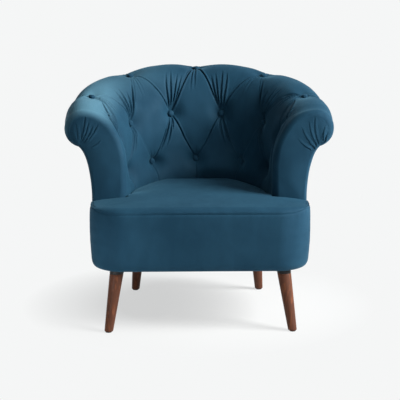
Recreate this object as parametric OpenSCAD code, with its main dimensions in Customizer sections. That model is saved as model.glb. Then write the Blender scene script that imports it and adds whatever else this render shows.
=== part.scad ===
// Deep-buttoned tub armchair with a rolled back, a crowned seat and splayed turned legs.
// Millimetres, +Z up, the front of the chair towards -Y, origin on the floor under the middle.

/* [Overall form] */
// Height of the top of the back roll above the floor
back_h = 775; // [755:1:795]
// Fall of the top line for each millimetre towards the front
top_fall = 0.215; // [0.19:0.005:0.24]
// Inside half width between the arms, which is also the inside radius of the back
inner_r = 231; // [225:1:240]
// Finished thickness of the arm and back wall above the seat
wall_t = 110; // [106:1:116]
// Y of the centre of the rear arc
arc_y = -66; // [-75:1:-57]
// Y of the front face of the seat
seat_front_y = -348; // [-357:1:-340]
// Setback of the arm fronts from the front face of the seat
arm_setback = 148; // [140:1:156]

/* [Roll] */
// Radius of the roll along the top of the back and arms
roll_r = 59; // [56:1:62]
// Distance of the roll's centre outwards from the inside face
roll_out = 134; // [128:1:140]
// Height over which the inside face flares into the roll on the arms
arm_flare = 185; // [175:1:195]
// Height over which the inside face flares into the roll at the middle of the back
back_flare = 240; // [225:1:255]
// Height of the bend between the outside wall and the underside of the roll
outside_bend = 285; // [270:1:300]

/* [Buttoning] */
// Spacing of the buttons along the lowest row, as a share of a quarter of the back's arc
tuft_share = 0.41; // [0.4:0.005:0.42]
// Gain of that spacing from each row to the next one up
tuft_pitch_rise = 7; // [5:1:9]
// Depth of the buttons below the pillows on the inside face
tuft_depth = 24; // [20:1:24]
// Depth of the buttons below the pillows on the roll
roll_tuft_depth = 14; // [10:1:14]
// Radius of a covered button
button_r = 11; // [9:0.5:12]
// Height of a covered button's dome
button_h = 7; // [5:0.5:8]
// Radius of the twine that holds a button
twine_r = 1; // [0.8:0.1:1.4]

/* [Upholstery] */
// Thickness of the quilted inside cover, pillow to backing
cover_t = 28; // [28:1:31]
// Thickness of the quilted cover on the roll
roll_cover_t = 18; // [18:1:19]
// Thickness of the foam behind the inside cover
foam_t = 20; // [16:1:22]
// Thickness of the foam inside the roll
roll_foam_t = 12; // [10:1:13]
// Thickness of the hessian lining
lining_t = 2; // [1.5:0.5:2.5]
// Thickness of the hardboard round the outside
board_t = 4; // [3:0.5:5]
// Thickness of the wadding over the hardboard
wadding_t = 8; // [6:1:9]
// Thickness of plain velvet with its backing
velvet_t = 3; // [2:0.5:3.5]
// Depth of the padded facing on the front of an arm
facing_t = 26; // [22:1:30]

/* [Seat] */
// Distance that each side of the seat front stands outside the arm
seat_overhang = 5; // [1:1:11]
// Plan radius of the seat's front corners
seat_corner_r = 105; // [95:1:115]
// Height of the seam along the top of the front border
seam_z = 378; // [370:1:384]
// Rise of the seat's top edge above that seam
edge_rise = 19; // [15:1:22]
// Rise of the seat's crown above its top edge
seat_crown = 16; // [10:1:20]
// Lowest edge of the covers above the floor
hem_z = 194; // [190:1:197]

/* [Frame] */
// Thickness of the plywood parts
ply_t = 18; // [15:1:20]
// Height of the underside of the frame
frame_z = 200; // [198:1:203]
// Height of the rails between the two rings
rail_h = 82; // [76:1:86]
// Width of the two rings
ring_w = 76; // [70:1:80]
// Depth of the foam in front of the frame
border_foam_t = 14; // [12:1:16]
// Height of the middle rail of the back
mid_rail_z = 470; // [455:1:475]

/* [Suspension] */
// Radius of the seat spring wire
wire_r = 1.9; // [1.6:0.1:2.2]
// Width of a serpentine spring
spring_w = 48; // [44:1:54]
// Distance between the bars of a spring
spring_pitch = 30; // [26:1:32]
// Distance between neighbouring springs
spring_gap = 82; // [72:1:86]

/* [Legs] */
// Distance of a front leg's top in from the outside of the arm
front_leg_in = 83; // [81:1:89]
// Distance of a front leg's top back from the seat front
front_leg_back = 55; // [53:1:61]
// Sideways splay of a front leg
front_splay_x = 28; // [22:1:34]
// Forward splay of a front leg
front_splay_y = 44; // [32:1:52]
// Distance of a rear leg's top in from the outside of the back
rear_leg_in = 60; // [57:1:63]
// Sideways splay of a rear leg
rear_splay_x = 17; // [9:1:25]
// Backward splay of a rear leg
rear_splay_y = 28; // [20:1:36]
// Radius at the top of a leg
leg_top_r = 21.5; // [20:0.5:23]
// Radius at the foot of a leg
leg_foot_r = 13.5; // [12.5:0.5:16]
// Length of the black collar between a leg and its plate
collar_h = 20; // [16:1:22]
// Radius of the bolt that holds a leg
bolt_r = 4; // [3.5:0.5:4.5]
// Depth of that bolt in the leg
bolt_depth = 22; // [16:1:28]
// Side of a square leg plate
plate_w = 52; // [51:1:56]
// Thickness of a leg plate
plate_t = 3; // [2.5:0.5:3.5]
// Thickness of a foot glide
glide_t = 3; // [2:0.5:4]

/* [Hidden] */
// Clearance between parts that only touch
gap = 0.3;
// Clearance between two soft layers
soft_gap = 0.6;
// Clearance between a flat board or an exact curve and a faceted curve
facet_gap = 0.8;
// Clearance of a plywood joint
joint_gap = 0.15;
// Clearance of a bolt or screw in its hole
hole_gap = 0.15;

$fn = 64;

velvet = [0.12, 0.31, 0.40];
walnut = [0.42, 0.24, 0.17];
birch = [0.80, 0.68, 0.50];
foam_yellow = [0.90, 0.85, 0.62];
hessian = [0.66, 0.55, 0.38];
steel = [0.62, 0.63, 0.65];
black_plastic = [0.06, 0.06, 0.07];
felt_white = [0.88, 0.88, 0.86];

// Heights and radii that follow from the sizes above
outer_r = inner_r + wall_t;
seat_half_w = outer_r + seat_overhang;
outer_layers = velvet_t + wadding_t + board_t;
ring_r = outer_r - outer_layers - facet_gap;
rib_in = cover_t + foam_t + lining_t + 2 * soft_gap;
ring_front_y = seat_front_y + velvet_t + border_foam_t + soft_gap;
ring_corner_r = seat_corner_r - (seat_half_w - ring_r);
arm_front_y = seat_front_y + arm_setback;
panel_y = arm_front_y + facing_t;
base_top_z = frame_z + ply_t;
rail_top_z = base_top_z + rail_h;
deck_z = rail_top_z + ply_t;
clip_h = 2 * wire_r + 2.4;
wire_z = deck_z + clip_h - wire_r - 0.8;
spring_cover_z = deck_z + clip_h;
spring_cover_t = 2;
foam_z = spring_cover_z + spring_cover_t;
edge_z = seam_z + edge_rise;
plate_z = frame_z - plate_t;
wall_foot_z = deck_z + clip_h + gap;
border_foam_z = hem_z + 18;
hem_depth = 27;
slope_gap = ply_t / 2 * top_fall;

// The wall in section: r runs outwards from the inside face and z upwards
roll_end = -75;
seam_gap_angle = 0.7;
arc_len = PI / 2 * inner_r;
panel_len = arc_len + arc_y - panel_y;
tuft_pitch = tuft_share * arc_len;

function lerp(a, b, t) = a + (b - a) * t;
function bezier(p, t) =
  pow(1 - t, 3) * p[0] + 3 * t * pow(1 - t, 2) * p[1] + 3 * t * t * (1 - t) * p[2] + pow(t, 3) * p[3];
function bezier_slope(p, t) =
  pow(1 - t, 2) * (p[1] - p[0]) + 2 * t * (1 - t) * (p[2] - p[1]) + t * t * (p[3] - p[2]);

// A station is a distance along the inside face from the middle of the back, positive to the right
function angle_at(s) = min(abs(s), arc_len) / arc_len * 90 * sign(s);
function on_arm(s) = max(abs(s) - arc_len, 0);
function place(s, r, z) =
  [(inner_r + r) * sin(angle_at(s)), arc_y - on_arm(s) + (inner_r + r) * cos(angle_at(s)), z];
function top_at(s) =
  back_h - top_fall * ((inner_r + roll_out) * (1 - cos(angle_at(s))) + on_arm(s));
function flare_at(s) = lerp(arm_flare, back_flare, cos(angle_at(s)));

// Inside face as [r, z, normal r, normal z]; the normal points into the wall
function flare_curve(s) = [
  [0, -flare_at(s)], [0, -0.45 * flare_at(s)], [0.42 * roll_out, 0], [roll_out, 0]
];
function flare_len(s) = 1.05 * norm([flare_at(s), roll_out]);
function face_len(s) = top_at(s) - flare_at(s) - edge_z + flare_len(s);
function unit(v) = v / norm(v);
function on_face(s, w) =
  let (run = w * face_len(s), upright = top_at(s) - flare_at(s) - edge_z)
  run < upright
    ? [0, max(edge_z + run, wall_foot_z), 1, 0]
    : let (
        t = min((run - upright) / flare_len(s), 1),
        p = bezier(flare_curve(s), t),
        v = unit(bezier_slope(flare_curve(s), t))
      ) [p[0], top_at(s) + p[1], v[1], -v[0]];
function on_roll(s, a) =
  [roll_out + roll_r * cos(a), top_at(s) - roll_r + roll_r * sin(a), -cos(a), -sin(a)];
function flare_share(s, w) =
  max(0, (w * face_len(s) - (top_at(s) - flare_at(s) - edge_z)) / flare_len(s));
function sunk(s, p, d) = place(s, p[0] + p[2] * d, p[1] + p[3] * d);
function sunk_rz(p, d) = [p[0] + p[2] * d, p[1] + p[3] * d];

// Outside wall from the underside of the roll down, in the same form
bend_start = [roll_out + roll_r * cos(roll_end), -roll_r + roll_r * sin(roll_end)];
bend_curve = [
  bend_start, bend_start + [-26, -22], [wall_t, -0.74 * outside_bend], [wall_t, -outside_bend]
];
function on_bend(s, t) =
  let (p = bezier(bend_curve, t), v = unit(bezier_slope(bend_curve, t)))
  [p[0], top_at(s) + p[1], v[1], -v[0]];

// Rows of buttons, as shares of the way up the inside face
lower_row = 0.172;
upper_row = 0.498;
roll_row = 0.955;
row_gap = (roll_row - lower_row) / 2;
function row_share(b) =
  b < 1 ? lerp(lower_row, upper_row, b) : lerp(upper_row, roll_row, b - 1);
function pitch_at(b) = tuft_pitch + tuft_pitch_rise * max(b, 0);
function button_station(a, b) = a * pitch_at(b);
function button_face(a, b) = on_face(button_station(a, b), row_share(b));
function sunk_depth(b) = b < 1.5 ? tuft_depth : roll_tuft_depth;

lower_places = [-2, -1, 0, 1, 2];
upper_places = [-2.5, -1.5, -0.5, 0.5, 1.5, 2.5];
buttons = concat(
  [for (a = lower_places) [a, 0]], [for (a = upper_places) [a, 1]], [for (a = lower_places) [a, 2]]
);

// Depth of the cover at a place of the diamond pattern: 0 on a pillow, full at a button
function ridge(a, b) =
  b > 0 && b < 2
    ? sqrt(abs(sin(180 * (a + b / 2)) * sin(180 * (a - b / 2))))
    : abs(sin(180 * a));
function button_near(s, b) = min([
  for (k = buttons) norm([s - button_station(k[0], k[1]), (b - k[1]) * row_gap * face_len(s)])
]);
function pillow(s, b) =
  let (
    a = s / pitch_at(min(b, 2)),
    edge = min(1, max(0, (panel_len - abs(s)) / 45)),
    foot = min(1, max(0, (b + 0.75) / 0.5)),
    back = b > 2 ? max(0, 1 - (b - 2) / 0.9) : 1,
    dip = exp(-pow(button_near(s, b) / 34, 2))
  ) edge * foot * min(1, 2 * back) * (0.42 * (1 - ridge(a, b)) + 0.58 * dip);
function pillow_depth(s, b) =
  pillow(s, b) * lerp(tuft_depth, roll_tuft_depth, min(1, max(0, (b - 1.2) / 0.6)));

// Layer depths below the finished surface, from the inside face to the roll
function cover_depth(k) = lerp(cover_t, roll_cover_t, k);
function foam_depth(k) = lerp(cover_t + foam_t, roll_cover_t + roll_foam_t, k) + soft_gap;
function lining_depth(k) = foam_depth(k) + lining_t + soft_gap;

// Rows of the smooth layers: [point, 0 on the inside face to 1 on the roll]
flare_rows = [0.3, 0.58, 0.8, 1];
lining_end = roll_end + 6;
roll_rows = [49, 8, -31, lining_end];
function upright_share(s) = (top_at(s) - flare_at(s) - edge_z) / face_len(s);
function layer_rows(s) = concat(
  [[on_face(s, -1), 0], [on_face(s, upright_share(s)), 0]],
  [for (t = flare_rows) [on_face(s, lerp(upright_share(s), 1, t)), t]],
  [for (a = roll_rows) [on_roll(s, a), 1]]
);

bend_rows = [0, 0.2, 0.4, 0.65, 1];

// Skin between equal loops of points. A loop is a front line and a back line in turn; each
// end is closed by a strip of triangles between the two, taking the shorter diagonal
function front_next(l, front_n, i, k) =
  k == len(l) - front_n - 1 ? true :
  i == front_n - 1 ? false :
  norm(l[i + 1] - l[len(l) - 1 - k]) < norm(l[i] - l[len(l) - 2 - k]);
function end_strip(l, front_n) =
  let (m = len(l))
  [for (
    i = 0, k = 0;
    i + k < m - 2;
    go = front_next(l, front_n, i, k), i = go ? i + 1 : i, k = go ? k : k + 1
  ) front_next(l, front_n, i, k) ? [i, i + 1, m - 1 - k] : [i, m - 2 - k, m - 1 - k]];
function loop_faces(loops, front_n) =
  let (n = len(loops), m = len(loops[0]))
  concat(
    [for (i = [0 : n - 2], j = [0 : m - 1]) each
      let (k = (j + 1) % m)
      [[i * m + j, i * m + k, (i + 1) * m + k], [i * m + j, (i + 1) * m + k, (i + 1) * m + j]]],
    [for (f = end_strip(loops[0], front_n)) [f[2], f[1], f[0]]],
    [for (f = end_strip(loops[n - 1], front_n)) [for (j = f) (n - 1) * m + j]]
  );
module skin(loops, front_n) {
  polyhedron(
    points = [for (l = loops) each l],
    faces = loop_faces(loops, front_n),
    convexity = 8
  );
}
function reversed(list) = [for (i = [len(list) - 1 : -1 : 0]) list[i]];
function steps(from, to, n) = [for (i = [0 : n]) lerp(from, to, i / n)];

// Plan shapes
module d_plan(half_w, front_y, corner_r) {
  tub_plan(half_w, front_y + corner_r);
  translate([-half_w + corner_r, front_y]) square([2 * (half_w - corner_r), corner_r + 1]);
  for (side = [-1, 1])
    translate([side * (half_w - corner_r), front_y + corner_r]) circle(r = corner_r, $fn = 96);
}
module tub_plan(r, front_y) {
  translate([0, arc_y]) intersection() {
    circle(r = r, $fn = 180);
    translate([-r, -1]) square([2 * r, r + 1]);
  }
  translate([-r, front_y]) square([2 * r, arc_y - front_y]);
}
module horseshoe(r_in, r_out, front_y) {
  difference() {
    tub_plan(r_out, front_y);
    tub_plan(r_in, front_y - 1);
  }
}
module d_ring(r_out, width, front_y, corner_r) {
  difference() {
    d_plan(r_out, front_y, corner_r);
    d_plan(r_out - width, front_y + width, max(corner_r - width, 20));
  }
}

// Legs: each is [top x, top y, foot x, foot y, turn of its plate]
rear_leg_angle = 45;
rear_leg_x = (outer_r - rear_leg_in) * cos(rear_leg_angle);
rear_leg_y = arc_y + (outer_r - rear_leg_in) * sin(rear_leg_angle);
function leg_place(side, x, y, out, along, turn) = [side * x, y, side * (x + out), y + along, side * turn];
leg_places = concat(
  [for (side = [-1, 1])
    leg_place(side, outer_r - front_leg_in, seat_front_y + front_leg_back, front_splay_x, -front_splay_y, 0)],
  [for (side = [-1, 1])
    leg_place(side, rear_leg_x, rear_leg_y, rear_splay_x, rear_splay_y, rear_leg_angle)]
);
// A leg's round section cut level at height z
leg_sides = 36;
function level_round(p, z, r) =
  let (v = [p[0] - p[2], p[1] - p[3]], run = norm(v), u = v / run, at = [p[2], p[3]] + v * z / plate_z,
    stretch = norm([run, plate_z]) / plate_z - 1)
  [for (j = [0 : leg_sides - 1])
    let (q = r * [cos(360 * j / leg_sides), -sin(360 * j / leg_sides)], w = at + q + u * (u * q) * stretch)
    [w[0], w[1], z]];
module slanted_round(p, heights, radii) {
  skin([for (i = [0 : len(heights) - 1]) level_round(p, heights[i], radii[i])], leg_sides / 2);
}
reach = 600;
nail_r = 1.2;
nail_h = 14;
module bolt_hole(p) {
  translate([p[0], p[1], plate_z - collar_h - bolt_depth])
    cylinder(h = bolt_depth + collar_h + plate_t + bush_h + 1, r = bolt_r + hole_gap, $fn = 32);
}
module leg(p) {
  color(walnut) difference() {
    slanted_round(p, [glide_t, plate_z - collar_h], [leg_foot_r, leg_top_r]);
    bolt_hole(p);
    translate([p[2], p[3], 0]) cylinder(h = glide_t + nail_h, r = nail_r + hole_gap, $fn = 24);
  }
}
module front_left_leg() { leg(leg_places[0]); }
module front_right_leg() { leg(leg_places[1]); }
module rear_left_leg() { leg(leg_places[2]); }
module rear_right_leg() { leg(leg_places[3]); }

module leg_collars() {
  color(black_plastic) for (p = leg_places) difference() {
    slanted_round(p, [plate_z - collar_h, plate_z], [leg_top_r, leg_top_r]);
    bolt_hole(p);
  }
}

bolt_rise = 18;
module leg_bolts() {
  color(steel) for (p = leg_places) translate([p[0], p[1], plate_z - collar_h - bolt_depth]) {
    cylinder(h = bolt_depth + collar_h + bolt_rise - 2, r = bolt_r, $fn = 32);
    translate([0, 0, bolt_depth + collar_h + bolt_rise - 2])
      cylinder(h = 2, r1 = bolt_r, r2 = bolt_r - 1.2, $fn = 32);
  }
}

bush_r = 8;
bush_h = 16;
bush_well_r = 14;
bush_well_h = 24;
screw_r = 2;
screw_len = 20;
screw_head_r = 4;
screw_head_h = 2.2;
screw_offset = plate_w / 2 - 6;
module at_plate(p, z) {
  translate([p[0], p[1], z]) rotate(p[4]) children();
}
module at_screws(p) {
  for (i = [-1, 1], j = [-1, 1])
    at_plate(p, plate_z) translate([i * screw_offset, j * screw_offset, 0]) children();
}
module leg_plates() {
  color(steel) for (p = leg_places) difference() {
    union() {
      at_plate(p, plate_z) translate([-plate_w / 2, -plate_w / 2, 0]) cube([plate_w, plate_w, plate_t]);
      translate([p[0], p[1], plate_z]) cylinder(h = bush_h, r = bush_r, $fn = 48);
    }
    bolt_hole(p);
    at_screws(p) translate([0, 0, -1]) cylinder(h = plate_t + 2, r = screw_r + hole_gap, $fn = 24);
  }
}
module leg_plate_screws() {
  color(steel) for (p = leg_places) at_screws(p) {
    translate([0, 0, -screw_head_h]) cylinder(h = screw_head_h, r1 = screw_head_r - 1, r2 = screw_head_r, $fn = 24);
    cylinder(h = plate_t + screw_len, r = screw_r, $fn = 24);
  }
}
module foot_glides() {
  color(black_plastic) for (p = leg_places) translate([p[2], p[3], 0]) {
    cylinder(h = glide_t, r1 = leg_foot_r - 4, r2 = leg_foot_r - 3, $fn = 48);
    cylinder(h = glide_t + nail_h - 1, r = nail_r, $fn = 24);
  }
}

// Holes that the legs' bushes and screws need in the wood above the plates
module leg_holes() {
  for (p = leg_places) {
    translate([p[0], p[1], frame_z - 1]) cylinder(h = bush_well_h + 1, r = bush_well_r, $fn = 48);
    at_screws(p) cylinder(h = plate_t + screw_len + 1, r = screw_r + hole_gap, $fn = 24);
  }
}

// Base frame
tongue_out = ring_r - ply_t;
module base_ring() {
  color(birch) difference() {
    translate([0, 0, frame_z]) linear_extrude(height = ply_t)
      d_ring(ring_r, ring_w, ring_front_y, ring_corner_r);
    leg_holes();
  }
}
module seat_ring() {
  color(birch) difference() {
    translate([0, 0, rail_top_z]) linear_extrude(height = ply_t)
      d_ring(ring_r, ring_w, ring_front_y, ring_corner_r);
    at_ribs() translate([inner_r + rib_in - joint_gap, -ply_t / 2 - joint_gap, rail_top_z - 1])
      cube([tongue_out - inner_r - rib_in + 2 * joint_gap, ply_t + 2 * joint_gap, ply_t + 2]);
    at_panels() translate([inner_r + rib_in - joint_gap, -joint_gap, rail_top_z - 1])
      cube([tongue_out - inner_r - rib_in + 2 * joint_gap, ply_t + 2 * joint_gap, ply_t + 2]);
  }
}
block_w = 34;
corner_x = ring_r - ring_corner_r - block_w;
corner_back_y = ring_front_y + ring_corner_r + 4;
module front_rail() {
  color(birch) translate([-corner_x + gap, ring_front_y, base_top_z])
    cube([2 * (corner_x - gap), ply_t, rail_h]);
}
module side_rail(side) {
  x = side > 0 ? ring_r - ply_t : -ring_r;
  color(birch) translate([x, corner_back_y + gap, base_top_z])
    cube([ply_t, arc_y - corner_back_y - 2 * gap, rail_h]);
}
module left_rail() { side_rail(-1); }
module right_rail() { side_rail(1); }
module rear_rail() {
  color(birch) translate([0, 0, base_top_z]) linear_extrude(height = rail_h)
    difference() {
      horseshoe(ring_r - ply_t, ring_r, arc_y - 1);
      translate([-reach, arc_y - 2]) square([2 * reach, 2]);
    }
}
rear_block_half = 34;
module corner_blocks() {
  color(birch) difference() {
    translate([0, 0, base_top_z]) linear_extrude(height = rail_h) {
      for (side = [-1, 1]) intersection() {
        d_plan(ring_r, ring_front_y, ring_corner_r);
        translate([side > 0 ? corner_x : -ring_r, ring_front_y])
          square([ring_r - corner_x, corner_back_y - ring_front_y]);
      }
      for (p = [leg_places[2], leg_places[3]]) intersection() {
        horseshoe(ring_r - ring_w, tongue_out - gap, arc_y - 1);
        translate([0, arc_y]) rotate(atan2(p[1] - arc_y, p[0]))
          translate([0, -rear_block_half]) square([reach, 2 * rear_block_half]);
      }
    }
    leg_holes();
  }
}
module dust_cover() {
  color(black_plastic) translate([0, 0, frame_z - 1.2]) linear_extrude(height = 1.2 - gap / 2)
    difference() {
      d_plan(ring_r - 24, ring_front_y + 24, ring_corner_r - 20);
      for (p = leg_places) translate([p[0], p[1]]) rotate(p[4]) square(plate_w + 2, center = true);
    }
}

// Seat suspension
spring_rows = [-2, -1, 0, 1, 2];
function spring_front() = ring_front_y + ring_w - 14;
function spring_back(x) = arc_y + sqrt(pow(ring_r - ring_w + 12, 2) - x * x);
function spring_bars(x) = floor((spring_back(x) - spring_front()) / spring_pitch);
function spring_start(x) = spring_back(x) - spring_bars(x) * spring_pitch;
// One wire to and fro: each entry is [x, y, heading] along its path, bar by bar
spring_turn = spring_pitch / 2;
spring_arm = spring_w / 2 - spring_turn;
turn_steps = 3;
function spring_path(n) = [for (i = [0 : n]) each
  let (side = i % 2 == 0 ? 1 : -1)
  concat(
    [[-side * spring_arm, i * spring_pitch, 90 - side * 90]],
    i == n
      ? [[side * spring_arm, i * spring_pitch, 90 - side * 90]]
      : [for (k = [0 : turn_steps - 1]) let (a = side * (180 * k / turn_steps - 90))
          [side * (spring_arm + spring_turn * cos(a)),
            (i + 0.5) * spring_pitch + side * spring_turn * sin(a),
            a + side * 90 + (side > 0 ? 0 : 180)]]
  )];
wire_sides = 6;
module spring(x) {
  path = spring_path(spring_bars(x));
  rings = [for (p = path) [for (j = [0 : wire_sides - 1])
    let (a = 360 * (j + 0.5) / wire_sides, r = wire_r * cos(a))
    [p[0] + r * sin(p[2]), p[1] - r * cos(p[2]), wire_r * sin(a)]]];
  translate([x, spring_start(x), wire_z]) skin(rings, wire_sides / 2);
}
module seat_springs() {
  color(steel) for (i = spring_rows) spring(i * spring_gap);
}
clip_w = 2 * (spring_w / 2 - spring_pitch / 2);
clip_d = 15;
module clip(x, y) {
  difference() {
    translate([x - clip_w / 2, y - clip_d / 2, deck_z]) cube([clip_w, clip_d, clip_h]);
    translate([x - clip_w, y, wire_z]) rotate([0, 90, 0])
      cylinder(h = 2 * clip_w, r = wire_r + hole_gap, $fn = 24);
  }
}
module spring_clips() {
  color(steel) for (i = spring_rows) {
    clip(i * spring_gap, spring_start(i * spring_gap));
    clip(i * spring_gap, spring_back(i * spring_gap));
  }
}
module seat_plan(inset) {
  front_w = seat_half_w - velvet_t - inset;
  back_y = arm_front_y - soft_gap - inset;
  difference() {
    intersection() {
      d_plan(front_w, seat_front_y + velvet_t + inset, seat_corner_r - velvet_t - inset);
      translate([-front_w, seat_front_y]) square([2 * front_w, back_y - seat_front_y]);
    }
  }
  tub_plan(inner_r - soft_gap - inset, back_y - 1);
}
module spring_cover() {
  color(hessian) translate([0, 0, spring_cover_z]) linear_extrude(height = spring_cover_t - gap / 2)
    seat_plan(18);
}

// Seat: loops of the plan, from the seam up over the edge to the crown
corner_steps = 7;
rear_steps = 14;
function seat_loop(o, t) =
  let (
    half = seat_half_w - o - t,
    c = seat_corner_r - o - t,
    front = seat_front_y + o + t,
    back = arm_front_y - soft_gap - t,
    inside = inner_r - soft_gap - t
  ) concat(
    [for (a = steps(-90, 0, corner_steps)) [half - c + c * cos(a), front + c + c * sin(a)]],
    [[half, back], [inside, back]],
    [for (a = steps(0, 180, rear_steps)) [inside * cos(a), arc_y + inside * sin(a)]],
    [[-inside, back], [-half, back]],
    [for (a = steps(180, 270, corner_steps)) [c - half + c * cos(a), front + c + c * sin(a)]]
  );
seat_mid = [0, arm_front_y - 24];
function crown_at(p) =
  seat_crown * max(0, 1 - pow(p[0] / seat_half_w, 2)) * max(0, 1 - pow((p[1] + 110) / 262, 2));
// Inset and height of each loop over the edge, then the shares of the loops across the crown
function edge_loops() = [
  [0, seam_z], [1.5, lerp(seam_z, edge_z, 0.5)], [6, lerp(seam_z, edge_z, 0.82)], [15, edge_z]
];
crown_shares = [0.8, 0.6, 0.4, 0.2, 0.1];
flat_share = 0.1;
function seat_loops(t) = concat(
  [for (e = edge_loops()) [for (p = seat_loop(e[0], t))
    [p[0], p[1], e[1] + (e[1] == edge_z ? crown_at(p) : 0) - (e[1] == seam_z ? 0 : t)]]],
  [for (k = crown_shares) [for (p = seat_loop(15, t))
    let (q = lerp(seat_mid, p, k)) [q[0], q[1], edge_z + crown_at(k > flat_share ? q : seat_mid) - t]]]
);
function band_faces(n, m, first, up) = [for (i = [0 : n - 2], j = [0 : m - 1]) each
  let (
    k = (j + 1) % m, a = first + i * m + j, b = first + i * m + k,
    c = first + (i + 1) * m + k, d = first + (i + 1) * m + j
  ) up ? [[a, c, b], [a, d, c]] : [[a, b, c], [a, c, d]]];
module seat_cover() {
  outer = seat_loops(0);
  inner = seat_loops(velvet_t);
  n = len(outer);
  m = len(outer[0]);
  points = [for (l = concat(outer, inner)) each l];
  color(velvet) polyhedron(
    points = points,
    faces = concat(
      band_faces(n, m, 0, true),
      band_faces(n, m, n * m, false),
      [for (j = [0 : m - 1]) each let (k = (j + 1) % m)
        [[j, k, n * m + k], [j, n * m + k, n * m + j]]],
      [[for (j = [m - 1 : -1 : 0]) (n - 1) * m + j], [for (j = [0 : m - 1]) (2 * n - 1) * m + j]]
    ),
    convexity = 6
  );
}
module seat_foam() {
  top = seat_loops(velvet_t + gap);
  bottom = [for (p = top[0]) [p[0], p[1], foam_z]];
  n = len(top) + 1;
  m = len(bottom);
  color(foam_yellow) polyhedron(
    points = concat(bottom, [for (l = top) each l]),
    faces = concat(
      band_faces(n, m, 0, true),
      [[for (j = [0 : m - 1]) j], [for (j = [m - 1 : -1 : 0]) (n - 1) * m + j]]
    ),
    convexity = 6
  );
}

// Front border: [outward bulge, height] from the seam down and under the frame
border_bulge = 4;
border_turn = 26;
border_path = [
  [0, seam_z - gap], [0.75 * border_bulge, lerp(seam_z, hem_z, 0.18)], [border_bulge, lerp(seam_z, hem_z, 0.43)],
  [0.25 * border_bulge, lerp(seam_z, hem_z, 0.67)], [-1, hem_z + border_turn],
  [-5, hem_z + 0.42 * border_turn], [-12, hem_z + 0.08 * border_turn], [-hem_depth, hem_z]
];
function border_line(o) =
  let (half = seat_half_w + o, c = seat_corner_r + o, front = seat_front_y - o, back = arm_front_y - gap)
  concat(
    [[-half, back]],
    [for (a = steps(180, 270, 9)) [c - half + c * cos(a), front + c + c * sin(a)]],
    [for (a = steps(-90, 0, 9)) [half - c + c * cos(a), front + c + c * sin(a)]],
    [[half, back]]
  );
function border_column(i) = concat(
  [for (e = border_path) let (p = border_line(e[0])[i]) [p[0], p[1], e[1]]],
  [for (e = reversed(border_path))
    let (lift = e[1] < hem_z + 5 ? velvet_t : 0, p = border_line(e[0] - (lift > 0 ? 1 : velvet_t))[i])
    [p[0], p[1], e[1] + lift]]
);
module border_cover() {
  color(velvet) difference() {
    skin([for (i = [0 : len(border_line(0)) - 1]) border_column(i)], len(border_path));
    for (p = [leg_places[0], leg_places[1]]) at_plate(p, hem_z - 1)
      translate([-plate_w / 2 - 1, -plate_w / 2 - 1, 0]) cube([plate_w + 2, plate_w + 2, velvet_t + 4]);
  }
}
module border_foam() {
  color(foam_yellow) translate([0, 0, border_foam_z]) linear_extrude(height = foam_z - border_foam_z - gap)
    intersection() {
      difference() {
        d_plan(seat_half_w - velvet_t - 4, seat_front_y + velvet_t + 4, seat_corner_r - velvet_t - 4);
        d_plan(ring_r + soft_gap, ring_front_y - soft_gap, ring_corner_r + soft_gap);
      }
      translate([-reach, seat_front_y]) square([2 * reach, arm_front_y - gap - seat_front_y]);
    }
}

// Ribs of the back and arms, cut from plywood and stood through the seat ring
inner_rib_angle = 11;
back_rib_angle = 64;
arm_rib_run = 52;
module at_ribs() {
  for (side = [-1, 1]) {
    for (a = [inner_rib_angle, back_rib_angle])
      translate([0, arc_y, 0]) rotate(90 - side * a) children();
    translate([0, arc_y - arm_rib_run, 0]) rotate(side > 0 ? 0 : 180) children();
  }
}
module at_panels() {
  for (side = [-1, 1])
    translate([0, side > 0 ? panel_y : panel_y + ply_t, 0]) rotate(side > 0 ? 0 : 180) children();
}
function rib_outline(s) =
  let (rows = layer_rows(s), at = outer_layers + facet_gap)
  concat(
    [[rib_in, base_top_z], [rib_in, deck_z]],
    [for (i = [1 : len(rows) - 1])
      let (q = rows[i][0], d = lining_depth(rows[i][1]) + soft_gap + slope_gap * abs(q[3]))
      sunk_rz(q, d)],
    [for (t = bend_rows) let (q = on_bend(s, t)) sunk_rz(q, at + slope_gap * abs(q[3]))],
    [[wall_t - at, deck_z], [tongue_out - inner_r - 2 * joint_gap, deck_z],
      [tongue_out - inner_r - 2 * joint_gap, base_top_z]]
  );
// A rib lies in its own radial plane, with the outline's r along local x
module rib_board(s) {
  translate([inner_r, ply_t / 2, 0]) rotate([90, 0, 0]) linear_extrude(height = ply_t)
    polygon(rib_outline(s));
}
function rail_plane_z() = back_h - roll_r;
module top_slab(thick) {
  pivot = [0, arc_y + inner_r + roll_out, rail_plane_z()];
  translate(pivot) rotate([atan(top_fall), 0, 0])
    translate([-reach, -1.6 * reach, -thick / 2]) cube([2 * reach, 2 * reach, thick]);
}
top_rail_in = roll_out - 16;
top_rail_out = roll_out + 17;
module top_rail_solid(extra) {
  intersection() {
    translate([0, 0, deck_z]) linear_extrude(height = reach)
      horseshoe(inner_r + top_rail_in - extra, inner_r + top_rail_out + extra, panel_y + (extra > 0 ? -1 : gap));
    top_slab(ply_t + 2 * extra);
  }
}
mid_rail_w = 20;
module mid_rail_solid(extra) {
  translate([0, 0, mid_rail_z - extra]) linear_extrude(height = ply_t + 2 * extra)
    horseshoe(
      ring_r - mid_rail_w - extra,
      ring_r + (extra > 0 ? reach / 10 : 0),
      panel_y + (extra > 0 ? -1 : gap)
    );
}
module with_rail_slots() {
  difference() {
    children();
    top_rail_solid(joint_gap);
    mid_rail_solid(joint_gap);
  }
}
module arc_rib(side, a) {
  color(birch) with_rail_slots()
    translate([0, arc_y, 0]) rotate(90 - side * a) rib_board(a / 90 * arc_len);
}
module left_inner_rib() { arc_rib(-1, inner_rib_angle); }
module right_inner_rib() { arc_rib(1, inner_rib_angle); }
module left_back_rib() { arc_rib(-1, back_rib_angle); }
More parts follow.
